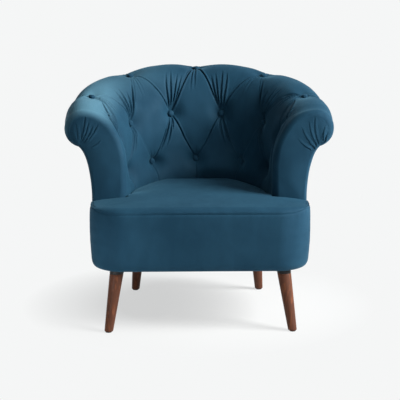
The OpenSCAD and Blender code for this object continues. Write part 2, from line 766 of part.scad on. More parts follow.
module right_back_rib() { arc_rib(1, back_rib_angle); }
module arm_rib(side) {
  color(birch) with_rail_slots()
    translate([0, arc_y - arm_rib_run, 0]) rotate(side > 0 ? 0 : 180)
      rib_board(arc_len + arm_rib_run);
}
module left_arm_rib() { arm_rib(-1); }
module right_arm_rib() { arm_rib(1); }
module arm_panel(side) {
  color(birch) with_rail_slots()
    translate([0, panel_y + ply_t / 2, 0]) rotate(side > 0 ? 0 : 180) rib_board(panel_len - ply_t / 2);
}
module left_arm_panel() { arm_panel(-1); }
module right_arm_panel() { arm_panel(1); }
module top_rail() { color(birch) top_rail_solid(0); }
module mid_rail() { color(birch) mid_rail_solid(0); }

// Smooth layers of the wall, each a loop of the rows at two depths, carried along the stations
function layer_loop(s, from_depth, to_depth) = concat(
  [for (q = layer_rows(s)) sunk(s, q[0], from_depth(q[1]))],
  [for (q = reversed(layer_rows(s))) sunk(s, q[0], to_depth(q[1]))]
);
module inside_layer(stations, from_depth, to_depth) {
  skin([for (s = stations) layer_loop(s, from_depth, to_depth)], len(layer_rows(0)));
}
foam_front = function(k) cover_depth(k) + soft_gap;
foam_back = function(k) foam_depth(k);
lining_front = function(k) foam_depth(k) + soft_gap;
lining_back = function(k) lining_depth(k);

tuft_n = 4;
column_n = 4 * tuft_n;
function column_at(k, b) =
  abs(k) > column_n
    ? sign(k) * lerp(2 * pitch_at(b), arc_len, (abs(k) - column_n) / 2)
    : k / (2 * tuft_n) * pitch_at(b);
function columns_at(b) = [for (k = [-column_n - 1 : column_n + 1]) column_at(k, b)];
back_stations = concat([-arc_len], columns_at(1), [arc_len]);
arm_stations = [arc_len, panel_len];
module hessian_lining() {
  color(hessian) difference() {
    inside_layer(
      concat([for (s = reversed(arm_stations)) -s], columns_at(1), arm_stations),
      lining_front, lining_back
    );
    at_buttons(buttons) twine_hole();
  }
}
module back_foam() {
  color(foam_yellow) difference() {
    inside_layer(back_stations, foam_front, foam_back);
    at_buttons(buttons) twine_hole();
  }
}
module arm_foam(side) {
  color(foam_yellow) difference() {
    inside_layer(side > 0 ? [arc_len + gap, panel_len] : [-panel_len, -arc_len - gap],
      foam_front, foam_back);
    at_buttons([[side * 2.5, 1]]) twine_hole();
  }
}
module left_arm_foam() { arm_foam(-1); }
module right_arm_foam() { arm_foam(1); }

// Quilted cover: a diamond grid of rows b and columns a in front, the smooth rows behind
pattern_rows = [for (j = [-tuft_n : 2 * tuft_n]) j / tuft_n];
cover_roll_rows = [90, 66, 42, 14, -16, -46, roll_end + seam_gap_angle];
function roll_b(a) = 2 + (90 - a) / 165 * 0.9;
function cover_front(s_of) = concat(
  [for (b = pattern_rows) let (s = s_of(b)) sunk(s, on_face(s, row_share(b)), pillow_depth(s, b))],
  [for (a = cover_roll_rows) let (s = s_of(2)) sunk(s, on_roll(s, a), pillow_depth(s, roll_b(a)))]
);
function cover_back(s) = [for (q = reversed(layer_rows(s))) sunk(s, q[0], cover_depth(q[1]))];
function cover_loop(s_of) = concat(cover_front(s_of), cover_back(s_of(1)));
module quilted_panel(columns) {
  skin([for (c = columns) cover_loop(c)], len(pattern_rows) + len(cover_roll_rows));
}
back_columns = [for (k = [-column_n - 2 : column_n + 2]) function(b) column_at(k, b)];
arm_columns = 6;
module inside_back_cover() {
  color(velvet) difference() {
    quilted_panel(back_columns);
    at_buttons([for (k = buttons) if (abs(k[0]) <= 2) k]) button_pocket();
  }
}
module inside_arm_cover(side) {
  from = side > 0 ? arc_len + gap : -panel_len;
  to = side > 0 ? panel_len : -arc_len - gap;
  color(velvet) difference() {
    quilted_panel([for (i = [0 : arm_columns]) let (s = lerp(from, to, i / arm_columns)) function(b) s]);
    at_buttons([[side * 2.5, 1]]) button_pocket();
  }
}
module left_inside_arm_cover() { inside_arm_cover(-1); }
module right_inside_arm_cover() { inside_arm_cover(1); }

// Buttons: children are placed at the finished face with +Z into the wall
module at_buttons(list) {
  for (k = list) {
    s = button_station(k[0], k[1]);
    p = button_face(k[0], k[1]);
    at = place(s, p[0], p[1]);
    translate(at) rotate([0, acos(p[3]), 90 - angle_at(s)]) {
      $tuft = sunk_depth(k[1]);
      $backing = lining_depth(flare_share(s, row_share(k[1])));
      children();
    }
  }
}
// Turn that keeps a hole's seam off the edges of the quilted surface
hole_turn = 20;
module button_pocket() {
  rotate(hole_turn) {
    translate([0, 0, -cover_t]) cylinder(h = cover_t + $tuft, r = button_r + 0.8, $fn = 32);
    translate([0, 0, $tuft - 1]) cylinder(h = cover_t, r = twine_r + 0.3, $fn = 16);
  }
}
module twine_hole() {
  rotate(hole_turn) translate([0, 0, -1]) cylinder(h = $backing + 10, r = twine_r + 0.4, $fn = 16);
}
module button() {
  dome_r = (button_r * button_r + button_h * button_h) / (2 * button_h);
  translate([0, 0, $tuft - gap]) mirror([0, 0, 1]) intersection() {
    translate([0, 0, button_h - dome_r]) sphere(r = dome_r, $fn = 96);
    cylinder(h = button_h + 1, r = button_r - 0.3, $fn = 64);
  }
}
module button_row(places, row) {
  color(velvet) at_buttons([for (a = places) [a, row]]) button();
}
module roll_buttons() { button_row(lower_places, 2); }
module upper_buttons() { button_row(upper_places, 1); }
module lower_buttons() { button_row(lower_places, 0); }
module button_twines() {
  color(felt_white) at_buttons(buttons)
    translate([0, 0, $tuft]) cylinder(h = $backing - $tuft + washer_gap - gap, r = twine_r, $fn = 16);
}
washer_r = 6;
washer_t = 2;
washer_gap = 4;
module button_washers() {
  color(black_plastic) at_buttons(buttons)
    translate([0, 0, $backing + washer_gap]) cylinder(h = washer_t, r = washer_r, $fn = 32);
}

// Padded facing on the front of an arm, rounded over its front edge
facing_steps = [0, 20, 40, 60, 78, 90];
function facing_inner(s) = concat(
  [[wall_t - outer_layers, wall_foot_z, 1, 0], [0, wall_foot_z, 1, 0]],
  [for (t = steps(0, 1, 6)) on_face(s, lerp(upright_share(s), 1, t))],
  [for (a = [66, 42, 18]) on_roll(s, a)]
);
function facing_outer(s) = concat(
  [for (a = [-6, -30, -54]) on_roll(s, a)],
  [for (t = [0, 0.12, 0.25, 0.4, 0.6, 0.8, 1]) on_bend(s, t)],
  [[wall_t, hem_z, -1, 0], [wall_t - outer_layers, hem_z, 1, 0]]
);
function facing_loop(side, a) =
  let (inset = (facing_t - 4) * (1 - cos(a)), y = panel_y - gap - (facing_t - gap) * sin(a))
  [for (p = concat(facing_inner(panel_len), facing_outer(panel_len)))
    let (d = inset * min(1, max(0, (p[1] - edge_z + 30) / 40)), q = sunk_rz(p, d))
    [side * (inner_r + q[0]), y, q[1]]];
module arm_facing(side) {
  loops = [for (a = facing_steps) facing_loop(side, a)];
  color(velvet) skin(side > 0 ? reversed(loops) : loops, len(facing_inner(panel_len)));
}
module left_arm_facing() { arm_facing(-1); }
module right_arm_facing() { arm_facing(1); }

// Outside layers, from the underside of the roll down to the frame
outside_stations = concat([-panel_len, -arc_len], columns_at(2), [arc_len, panel_len]);
function outside_rows(s, bottom) = concat(
  [for (t = bend_rows) on_bend(s, t)], [[wall_t, bottom, -1, 0]]
);
module outside_layer(from_depth, to_depth, bottom) {
  skin([for (s = outside_stations) concat(
    [for (p = outside_rows(s, bottom)) sunk(s, p, from_depth)],
    [for (p = reversed(outside_rows(s, bottom))) sunk(s, p, to_depth)]
  )], len(bend_rows) + 1);
}
module outer_board() {
  color([0.55, 0.40, 0.26]) outside_layer(velvet_t + wadding_t + soft_gap, outer_layers, frame_z);
}
module outer_wadding() {
  color(felt_white) outside_layer(velvet_t + soft_gap, velvet_t + wadding_t, frame_z);
}
hem_turn = 12;
module outside_cover() {
  color(velvet) skin([for (s = outside_stations) concat(
    [for (p = outside_rows(s, hem_z + 6)) sunk(s, p, 0)],
    [place(s, wall_t - 2, hem_z + 1.5), place(s, wall_t - 7, hem_z), place(s, wall_t - outer_layers - hem_turn, hem_z)],
    [place(s, wall_t - outer_layers - hem_turn, hem_z + velvet_t), place(s, wall_t - 7, hem_z + velvet_t)],
    [for (p = reversed(outside_rows(s, hem_z + 6))) sunk(s, p, velvet_t)]
  )], len(bend_rows) + 4);
}

front_left_leg();
front_right_leg();
rear_left_leg();
rear_right_leg();
leg_collars();
leg_bolts();
leg_plates();
leg_plate_screws();
foot_glides();
base_ring();
seat_ring();
front_rail();
left_rail();
right_rail();
rear_rail();
corner_blocks();
dust_cover();
seat_springs();
spring_clips();
spring_cover();
seat_foam();
seat_cover();
border_foam();
border_cover();
left_inner_rib();
right_inner_rib();
left_back_rib();
right_back_rib();
left_arm_rib();
right_arm_rib();
left_arm_panel();
right_arm_panel();
top_rail();
mid_rail();
hessian_lining();
back_foam();
left_arm_foam();
right_arm_foam();
inside_back_cover();
left_inside_arm_cover();
right_inside_arm_cover();
left_arm_facing();
right_arm_facing();
outer_board();
outer_wadding();
outside_cover();
roll_buttons();
upper_buttons();
lower_buttons();
button_twines();
button_washers();
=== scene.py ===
"""Builds the looks of a deep-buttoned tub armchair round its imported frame.

Run it as a script in Blender 4.5. Lengths are metres, +Z is up and the front of the chair faces -Y.
"""

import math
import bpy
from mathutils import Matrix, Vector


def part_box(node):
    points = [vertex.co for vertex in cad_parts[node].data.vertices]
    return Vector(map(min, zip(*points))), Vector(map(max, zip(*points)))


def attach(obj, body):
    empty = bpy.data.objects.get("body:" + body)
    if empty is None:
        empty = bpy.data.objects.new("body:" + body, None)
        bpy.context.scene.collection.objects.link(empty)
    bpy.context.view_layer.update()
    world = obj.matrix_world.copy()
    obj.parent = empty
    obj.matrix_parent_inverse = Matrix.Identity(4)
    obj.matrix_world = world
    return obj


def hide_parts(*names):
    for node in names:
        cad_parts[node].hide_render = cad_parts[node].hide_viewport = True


bl_info = {
    "name": "Deep-buttoned tub armchair",
    "version": (1, 0, 0),
    "blender": (4, 5, 0),
    "location": "3D Viewport > Sidebar > Armchair",
    "description": "Builds the velvet covers, buttons, legs and finishes of a tub armchair",
    "category": "Object",
}

import bmesh
import bpy
import numpy as np
from mathutils import Vector

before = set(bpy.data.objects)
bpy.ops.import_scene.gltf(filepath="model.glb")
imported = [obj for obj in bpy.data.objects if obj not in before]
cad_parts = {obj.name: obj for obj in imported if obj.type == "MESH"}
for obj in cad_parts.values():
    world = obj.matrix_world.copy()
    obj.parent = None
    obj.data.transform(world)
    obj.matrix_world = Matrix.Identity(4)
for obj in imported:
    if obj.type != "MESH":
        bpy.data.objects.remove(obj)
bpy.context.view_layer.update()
BODY = "root"
# Name of the mesh attribute that lays the painted highlight on the left arm's roll and the left of the crest
PAINTED_HIGHLIGHT = "painted_highlight"

LEGS = ("front_left_leg", "front_right_leg", "rear_left_leg", "rear_right_leg")
RIB_PARTS = ("inner_rib", "back_rib", "arm_rib", "arm_panel")
PLYWOOD = [f"{side}_{part}" for side in ("left", "right") for part in RIB_PARTS] + [
    "base_ring", "seat_ring", "front_rail", "left_rail", "right_rail", "rear_rail",
    "corner_blocks", "top_rail", "mid_rail",
]


def length(name, description, default, low, high):
    """A property that holds a length in metres."""
    return bpy.props.FloatProperty(
        name=name, description=description, default=default, min=low, max=high,
        precision=4, subtype="DISTANCE", unit="LENGTH",
    )


def share(name, description, default):
    """A property that holds a plain share."""
    return bpy.props.FloatProperty(name=name, description=description, default=default, min=0.0, max=1.0)


def colour(name, description, default):
    """A property that holds a colour."""
    return bpy.props.FloatVectorProperty(
        name=name, description=description, default=default, min=0.0, max=1.0, size=3, subtype="COLOR",
    )


class ArmchairWall(bpy.types.PropertyGroup):
    """Sizes of the horseshoe wall and its roll"""

    back_top: length("Back top", "Height of the top of the back roll", 0.775, 0.7, 0.85)
    top_fall: share("Top fall", "Fall of the top line for each metre towards the front", 0.215)
    inner_radius: length("Inner radius", "Inside half width between the arms", 0.231, 0.2, 0.26)
    thickness: length("Thickness", "Thickness of the wall above the seat", 0.110, 0.09, 0.13)
    arc_y: length("Arc centre", "Y of the centre of the rear arc", -0.066, -0.1, 0.0)
    front_y: length("Seat front", "Y of the front face of the seat", -0.348, -0.4, -0.3)
    arm_setback: length("Arm setback", "Distance from the seat front to the arm fronts", 0.148, 0.1, 0.2)
    roll_radius: length("Roll radius", "Radius of the roll", 0.059, 0.04, 0.08)
    roll_offset: length("Roll offset", "Distance of the roll's centre from the inside face", 0.134, 0.1, 0.16)
    arm_flare: length("Arm flare", "Height of the flare on the arms", 0.185, 0.15, 0.22)
    back_flare: length("Back flare", "Height of the flare at the middle of the back", 0.240, 0.2, 0.28)
    outside_bend: length("Outside bend", "Height of the bend under the roll", 0.285, 0.25, 0.32)
    facing_depth: length("Facing depth", "Depth of the rounded arm fronts", 0.026, 0.015, 0.035)
    foot: length("Foot of the cover", "Height of the cover's lower edge behind the seat", 0.3245, 0.28, 0.36)
    seat_reach: length("Seat reach", "Depth of the seat's middle behind the arm fronts", 0.340, 0.3, 0.37)
    foot_share: share("Foot stuffing", "Share of the way to an ellipse that the stuffing fills", 0.65)
    grid: length("Grid", "Spacing of the covers' mesh", 0.0017, 0.001, 0.01)


class ArmchairButtoning(bpy.types.PropertyGroup):
    """Sizes of the deep buttoning"""

    pitch_share: share("Pitch", "Spacing of the lowest buttons, as a share of the quarter arc", 0.41)
    pitch_rise: length("Pitch rise", "Gain of that spacing in each row above", 0.007, 0.0, 0.02)
    depth: length("Depth", "Depth of a button below the pillows", 0.024, 0.01, 0.03)
    roll_depth: length("Depth on the roll", "Depth of a button on the roll", 0.014, 0.005, 0.02)
    button_radius: length("Button radius", "Radius of a covered button", 0.011, 0.006, 0.016)
    button_height: length("Button height", "Height of a covered button's dome", 0.008, 0.003, 0.01)
    drift: length("Drift", "How far the two lower rows stand to the left", 0.0035, 0.0, 0.01)
    crest_gather: length("Crest gathers", "Rise and fall of the roll between its buttons", 0.0075, 0.0, 0.02)
    rim: length("Button rim", "Extra depth of the cover right at a button's rim", 0.0030, 0.0, 0.006)
    dimple: length("Dimple", "Reach of the dimple round a button", 0.028, 0.015, 0.05)
    valley_share: share("Valleys", "Depth of the valleys between the pillows, as a share of the depth", 0.24)
    fold: length("Fold", "Depth of a fold between two buttons", 0.0060, 0.0, 0.01)
    fold_width: length("Fold width", "Half width of a fold", 0.0034, 0.002, 0.015)
    wrinkle: length("Wrinkle", "Height of the cloth's own unevenness", 0.0007, 0.0, 0.003)


class ArmchairSeat(bpy.types.PropertyGroup):
    """Sizes of the seat"""

    half_width: length("Half width", "Half width of the seat front", 0.342, 0.3, 0.4)
    corner: length("Corner radius", "Plan radius of the front corners", 0.105, 0.06, 0.14)
    seam: length("Seam height", "Height of the seam along the front", 0.373, 0.34, 0.4)
    edge_rise: length("Edge rise", "Rise of the rounded edge above the seam", 0.013, 0.005, 0.03)
    edge_round: length("Edge rounding", "Depth of the rounded edge along the front", 0.026, 0.01, 0.04)
    seam_lift: length("Seam lift", "How much higher the seam runs behind the front corners", 0.010, 0.0, 0.02)
    crown: length("Crown", "Rise of the crown above the edge", 0.021, 0.0, 0.03)
    rear_rise: length("Rear rise", "How much higher the top stands at its rear", 0.012, 0.0, 0.02)
    corner_fall: length("Corner fall", "How far the top sinks beside the arms", 0.020, 0.0, 0.03)
    hem: length("Hem height", "Lowest edge of the border", 0.190, 0.17, 0.21)


class ArmchairFinish(bpy.types.PropertyGroup):
    """Colours of the armchair"""

    velvet: colour("Velvet", "Velvet seen along the pile", (0.0068, 0.039, 0.073))
    velvet_light: colour("Brushed velvet", "Velvet brushed against the pile", (0.011, 0.055, 0.098))
    # Painted highlight: a lighter velvet laid on the left arm's roll and the left of the crest, where the
    # light falls on them
    velvet_painted_highlight: colour("Arm's velvet", "Velvet as brushed on the left arm's roll", (0.097, 0.232, 0.320))
    velvet_sheen: colour("Velvet sheen", "Colour of the pile's edge light", (0.28, 0.70, 0.96))
    walnut: colour("Walnut", "Walnut between the dark veins", (0.180, 0.058, 0.023))
    walnut_vein: colour("Walnut vein", "Dark veins of the walnut", (0.080, 0.026, 0.012))
    plywood: colour("Plywood", "Birch plywood", (0.60, 0.42, 0.24))
    floor: colour("Floor", "Floor under the armchair", (0.80, 0.81, 0.81))
    paper: colour("Paper", "Plain paper behind and around the armchair", (0.913, 0.922, 0.922))


def mix(a, b, t):
    """A value between a, at t = 0, and b, at t = 1."""
    return a + (b - a) * t


def smooth(t):
    """An eased step from 0, at t = 0, to 1, at t = 1."""
    t = np.clip(t, 0.0, 1.0)
    return t * t * (3.0 - 2.0 * t)


def bezier(points, t):
    """Points and slopes of cubic curves whose four points may be arrays."""
    p = [np.asarray(q, float) for q in points]
    t = np.asarray(t)[..., None]
    place = (1 - t) ** 3 * p[0] + 3 * t * (1 - t) ** 2 * p[1] + 3 * t * t * (1 - t) * p[2] + t ** 3 * p[3]
    slope = (1 - t) ** 2 * (p[1] - p[0]) + 2 * t * (1 - t) * (p[2] - p[1]) + t * t * (p[3] - p[2])
    return place, slope


def into_wall(slope):
    """Section normals that point into the wall, for curves that run up the inside and down the outside."""
    slope = slope / np.linalg.norm(slope, axis=-1, keepdims=True)
    return np.stack([slope[..., 1], -slope[..., 0]], -1)


class Wall:
    """The wall in section, and its way round the back.

    A station is a distance along the inside face from the middle of the back, positive to the right.
    A section point is (r, z): r runs outwards from the inside face.
    """

    # Angle at which the cover leaves the underside of the roll
    roll_end = math.radians(-75)
    # The flare's curve: its length over its chord, and how far its two handles reach, as shares
    flare_stretch = 1.05
    flare_handles = (0.45, 0.42)
    # The bend under the roll: the step to its first handle, and the reach of its second, as a share
    bend_handle = (-0.026, -0.022)
    bend_pull = 0.74

    def __init__(self, size, edge_z):
        self.size = size
        self.edge_z = edge_z
        self.arc_length = math.pi / 2 * size.inner_radius
        self.arm_front_y = size.front_y + size.arm_setback
        self.panel_y = self.arm_front_y + size.facing_depth
        self.end = self.arc_length + size.arc_y - self.panel_y

    def angle(self, s):
        """Turn round the back, from -90 to 90 degrees; the arms keep the angle of their end of the arc."""
        return np.clip(np.abs(s) / self.arc_length, 0, 1) * np.sign(s) * math.pi / 2

    def on_arm(self, s):
        """Distance along an arm from the end of the arc."""
        return np.maximum(np.abs(s) - self.arc_length, 0)

    def place(self, s, rz):
        """Points in space of section points at their stations."""
        angle = self.angle(s)
        reach = self.size.inner_radius + rz[..., 0]
        y = self.size.arc_y - self.on_arm(s) + reach * np.cos(angle)
        return np.stack([reach * np.sin(angle), y, rz[..., 1]], -1)

    def top(self, s):
        """Height of the crest, which falls towards the front."""
        size = self.size
        fall = (size.inner_radius + size.roll_offset) * (1 - np.cos(self.angle(s))) + self.on_arm(s)
        return size.back_top - size.top_fall * fall

    def flare(self, s):
        """Height over which the inside face leans out into the roll."""
        return mix(self.size.arm_flare, self.size.back_flare, np.cos(self.angle(s)))

    def flare_length(self, s):
        """Length of the curve that leads the inside face into the roll."""
        return self.flare_stretch * np.hypot(self.flare(s), self.size.roll_offset)

    def foot_padding(self, s):
        """How far the stuffing at the seat's edge stands out, so that its plan is half an ellipse."""
        angle, wide, deep = self.angle(s), self.size.inner_radius, self.size.seat_reach
        ahead = self.size.arc_y - self.on_arm(s) + wide * np.cos(angle) - self.arm_front_y
        sine, cosine = np.sin(angle) / wide, np.cos(angle) / deep
        square = sine ** 2 + cosine ** 2
        linear = -2 * (np.sin(angle) * sine + ahead / deep * cosine)
        rest = np.sin(angle) ** 2 + (ahead / deep) ** 2 - 1
        root = np.sqrt(np.maximum(linear ** 2 - 4 * square * rest, 0))
        return self.size.foot_share * (-linear - root) / (2 * square)

    def upright(self, s):
        """Height of the straight part of the inside face, above the seat's edge."""
        return self.top(s) - self.flare(s) - self.edge_z

    def face_length(self, s):
        """Length of the inside face in section, from the seat's edge to the crest."""
        return self.upright(s) + self.flare_length(s)

    def face(self, s, run):
        """Section points and normals of the inside face at a run above the seat's edge."""
        flare, top = self.flare(s), self.top(s)
        zero = np.zeros_like(flare)
        out = self.size.roll_offset
        t = np.clip((run - self.upright(s)) / self.flare_length(s), 0, 1)
        points = [
            np.stack([zero, -flare], -1), np.stack([zero, -self.flare_handles[0] * flare], -1),
            np.stack([zero + self.flare_handles[1] * out, zero], -1), np.stack([zero + out, zero], -1),
        ]
        place, slope = bezier(points, t)
        place = place + np.stack([zero, top], -1)
        straight = (run < self.upright(s))[..., None]
        plain = np.stack([zero, np.maximum(self.edge_z + run, self.size.foot)], -1)
        normal = np.where(straight, np.array([1.0, 0.0]), into_wall(slope))
        return np.where(straight, plain, place), normal

    def roll(self, s, angle):
        """Section points and normals of the roll, at an angle round its centre."""
        size = self.size
        ring = np.stack([np.cos(angle), np.sin(angle)], -1)
        centre = np.stack([np.full_like(self.top(s), size.roll_offset), self.top(s) - size.roll_radius], -1)
        return centre + size.roll_radius * ring, -ring

    def outside(self, s, t):
        """The outside from the underside of the roll, at t = 0, down to the end of its bend, at t = 1."""
        size = self.size
        start = np.array([
            size.roll_offset + size.roll_radius * math.cos(self.roll_end),
            size.roll_radius * (math.sin(self.roll_end) - 1),
        ])
        points = [
            start, start + self.bend_handle,
            np.array([size.thickness, -self.bend_pull * size.outside_bend]),
            np.array([size.thickness, -size.outside_bend]),
        ]
        place, slope = bezier(points, t)
        return place + np.stack([np.zeros_like(self.top(s)), self.top(s)], -1), into_wall(slope)

    def section(self, s, v):
        """Section points and normals of the inside cover.

        v runs from -1 at its foot to 0 at the seat's edge, 1 on the crest and 2 at the end of the roll.
        """
        s, v = np.broadcast_arrays(np.asarray(s, float), np.asarray(v, float))
        below = (self.edge_z - self.size.foot) * v
        run = np.where(v < 0, below, v * self.face_length(s))
        face, face_normal = self.face(s, run)
        angle = mix(math.pi / 2, self.roll_end, np.clip(v - 1, 0, 1))
        roll, roll_normal = self.roll(s, angle)
        rolled = (v > 1)[..., None]
        return np.where(rolled, roll, face), np.where(rolled, roll_normal, face_normal)

    def surface(self, s, v):
        """Points in space of the plain inside cover."""
        return self.place(np.asarray(s, float), self.section(s, v)[0])


class Buttoning:
    """The diamond pattern of the buttons, in rows b and columns a of the inside cover."""

    # Heights v of the three rows of buttons, and their columns a
    lower_row, upper_row, roll_row = 0.172, 0.498, 0.955
    lower = (-2, -1, 0, 1, 2)
    upper = (-2.5, -1.5, -0.5, 0.5, 1.5, 2.5)
    # Gathers at a button: the middle and the tip of each as steps along the row, and its reach in rows.
    # The gathers on the crest, at the lower buttons and behind the crest have only a tip and a reach.
    middle_fan = ((-0.12, 0.01, 0.74), (0.0, 0.09, 0.78), (0.09, 0.19, 0.70), (0.15, 0.26, 0.66))
    side_fan = ((-0.14, -0.14, 0.72), (-0.06, -0.03, 0.70), (0.04, 0.10, 0.55), (0.14, 0.34, 0.72))
    under_fan = ((-0.17, -0.38, 0.80), (-0.03, -0.20, 0.66), (0.03, -0.04, 0.36))
    crest_fan = ((-0.20, 0.46), (-0.11, 0.70), (-0.03, 0.66), (0.12, 0.45))
    lower_fan = ((-0.16, 0.42), (0.0, 0.36), (0.15, 0.44))
    roll_fan = ((-0.17, 0.55), (0.16, 0.6))
    # Strengths at the start, middle and end of the fold from a button to the next row, by the
    # button's column and whether the fold runs away from the middle of the back
    seams = {
        (0, True): (0.45, 0.6, 1.0), (1, False): (0.9, 0.8, 1.0), (1, True): (0.4, 0.2, 0.45),
        (0.5, False): (1.0, 1.0, 1.0), (0.5, True): (0.8, 0.7, 0.6),
        (1.5, False): (0.6, 0.2, 0.3), (1.5, True): (0.9, 0.8, 0.8),
    }
    # Heights v of the wall's section and the row numbers b that belong to them
    heights = (-1, 0, lower_row, upper_row, roll_row, 1, 2)
    rows = (-1.03, -0.528, 0, 1, 2, 2.098, 3.0)

    def __init__(self, size, wall):
        self.size = size
        self.wall = wall
        columns = (self.lower, self.upper, self.lower)
        self.places = [(a, row) for row, places in enumerate(columns) for a in places]

    def row_of(self, v):
        """Row number at a height v of the wall's section."""
        return np.interp(v, self.heights, self.rows)

    def height_of(self, b):
        """Height v of the wall's section at a row number."""
        return np.interp(b, self.rows, self.heights)

    def pitch_at(self, b):
        """Distance between two buttons of a row."""
        return self.size.pitch_share * self.wall.arc_length + self.size.pitch_rise * np.maximum(b, 0)

    def drift(self, b):
        """How far hand tufting has drawn the two lower rows to one side."""
        return -self.size.drift * np.clip(2 - b, 0, 1)

    def station(self, a, b):
        """Station of a column, which differs from row to row."""
        return a * self.pitch_at(b) + self.drift(b)

    def depth_at(self, b):
        """Depth of a button, which is less on the roll."""
        return mix(self.size.depth, self.size.roll_depth, np.clip((b - 1.2) / 0.6, 0, 1))

    def near_button(self, s, b):
        """1 at a button, falling to 0 a few centimetres away."""
        row_gap = (self.roll_row - self.lower_row) / 2 * self.wall.face_length(s)
        away = [np.hypot(s - self.station(k, row), (b - row) * row_gap) for k, row in self.places]
        return np.exp(-((np.min(away, axis=0) / self.size.dimple) ** 2))

    def pillows(self, s, b):
        """Depth of the diamond pillows: none on a pillow's crown and full at a button."""
        edge_fade, crest_row, crest_width = 0.045, 2.25, 0.5
        a = (s - self.drift(b)) / self.pitch_at(np.minimum(b, 2))
        diamonds = np.sqrt(np.abs(np.sin(math.pi * (a + b / 2)) * np.sin(math.pi * (a - b / 2))))
        ridge = np.where((b > 0) & (b < 2), diamonds, np.abs(np.sin(math.pi * a)))
        edge = np.clip((self.wall.end - np.abs(s)) / edge_fade, 0, 1)
        foot = np.clip((b + 0.75) / 0.5, 0, 1)
        back = np.where(b > 2, np.clip(1 - (b - 2) / 0.9, 0, 1), 1)
        valley = self.size.valley_share * (1 - ridge)
        near = self.near_button(s, b)
        dip = (1 - self.size.valley_share) * near
        crest = np.exp(-(((b - crest_row) / crest_width) ** 2)) * (1 - near)
        gathers = crest * self.size.crest_gather * ((1 - np.abs(np.sin(math.pi * a))) ** 1.5 - 0.4)
        pressed = foot * np.minimum(1, 2 * back) * (valley + dip) * self.depth_at(b)
        return edge * (pressed + gathers + self.size.rim * near ** 4)

    def folds(self):
        """Every fold of the cover: three (station, row) controls, its depth, width and three strengths."""
        folds = []

        def add(start, middle, finish, depth, width, strengths):
            """One fold, from its three places (a, row)."""
            controls = [(self.station(*place), place[1]) for place in (start, middle, finish)]
            folds.append((controls, depth, width, strengths))

        def spread(a, b, turns, depth, width, strengths):
            """Gathers that leave one button; each turn is a middle and a tip, as steps in (a, row)."""
            for middle, tip in turns:
                add((a, b), (a + middle[0], b + middle[1]), (a + tip[0], b + tip[1]), depth, width, strengths)

        for a, b in self.places:
            inwards = -1 if a > 0 else 1
            for side in (-1, 1):
                other = (a + side * 0.5, b + 1)
                if other in self.places:
                    middle = (a + side * (0.25 + 0.08 * b) + 0.06 * a * (1 - b), b + 0.5)
                    strengths = self.seams.get((abs(a), abs(other[0]) > abs(a)), (0.8, 0.6, 0.8))
                    add((a, b), middle, other, 0.9, 0.7, strengths)
            if b == 0:
                add((a, b), (a, -0.4), (a, -0.75), 0.55, 0.8, (0.9, 0.6, 0.3))
                turns = [((t / 2, 0.22), (t, reach)) for t, reach in self.lower_fan]
                spread(a, b, turns, 0.35, 0.6, (0.8, 0.5, 0.0))
            if b == 1:
                fan, depth = (self.middle_fan, 0.85) if abs(a) < 1 else (self.side_fan, 1.15)
                turns = [((inwards * m, 0.4 * reach), (inwards * t, reach)) for m, t, reach in fan]
                spread(a, b, turns, depth, 0.8, (0.8, 1.0, 0.0))
                turns = [((inwards * m, -reach / 2), (inwards * t, -reach)) for m, t, reach in self.under_fan]
                spread(a, b, turns, 0.8, 0.75, (0.9, 0.9, 0.0))
            if b == 2:
                add((a, b), (a, 2.5), (a, 2.95), 0.9, 1.0, (1.0, 0.8, 0.7))
                turns = [((t / 2, reach / 2), (t, reach)) for t, reach in self.roll_fan]
                spread(a, b, turns, 0.45, 0.7, (1.0, 0.6, 0.0))
                turns = [((0.75 * t, -reach / 2), (t, -reach)) for t, reach in self.crest_fan]
                spread(a, b, turns, 0.3 if abs(a) == 1 else 0.65, 0.75, (1.0, 0.8, 0.0))
        for side in (-1, 1):
            add((side * 2.5, 1), (side * 2.6, 0.3), (side * 2.72, -0.5), 0.45, 0.8, (0.6, 0.5, 0.1))
            add((side * 2.1, 1.75), (side * 2.7, 1.6), (side * 2.95, 1.1), 1.0, 1.1, (0.1, 1.0, 0.4))
        return folds


def grid_normals(points):
    """Normals of a grid of points, rows by columns, and the area of a cell at each."""
    across = np.gradient(points, axis=1)
    along = np.gradient(points, axis=0)
    normal = np.cross(across, along)
    area = np.linalg.norm(normal, axis=-1, keepdims=True)
    return normal / np.maximum(area, 1e-12), area[..., 0]


def fold_depth(points, normals, path, width, strengths):
    """Depth from 0 to 1 of one fold over a set of points, steep and lipped on its upper side."""
    steep, gentle, lip_height = 1.7, 0.9, 0.42
    reach, end = 6 * width, 5.5 * width
    depth = np.zeros(points.shape[:-1])
    inside = np.all((points > path.min(0) - reach) & (points < path.max(0) + reach), axis=-1)
    where = np.nonzero(inside)
    if not len(where[0]):
        return depth
    p, n = points[where], normals[where]
    best = np.full(len(p), np.inf)
    along = np.zeros(len(p))
    across = np.zeros(len(p))
    count = len(path) - 1
    for i in range(count):
        a, run = path[i], path[i + 1] - path[i]
        t = np.clip((p - a) @ run / (run @ run), 0, 1)
        off = p - a - t[:, None] * run
        far = np.linalg.norm(off, axis=1)
        near = far < best
        best[near] = far[near]
        along[near] = ((i + t) / count)[near]
        side = np.einsum("ij,ij->i", np.cross(n, run), off)
        across[near] = np.sign(side)[near]
    x = best / width
    upper = across * np.sign(path[-1][2] - path[0][2] + 1e-9) > 0
    profile = 1 / (1 + (np.where(upper, steep, gentle) * x) ** 2) ** 1.5
    lip = np.where(upper, lip_height * x * np.exp(1 - x) * smooth(2 - x / 2), 0)
    start, middle, finish = strengths
    strength = start * (1 - along) * (1 - 2 * along) + 4 * middle * along * (1 - along)
    strength += finish * along * (2 * along - 1)
    depth[where] = (profile - lip) * np.maximum(strength, 0) * (best < end)
    return depth


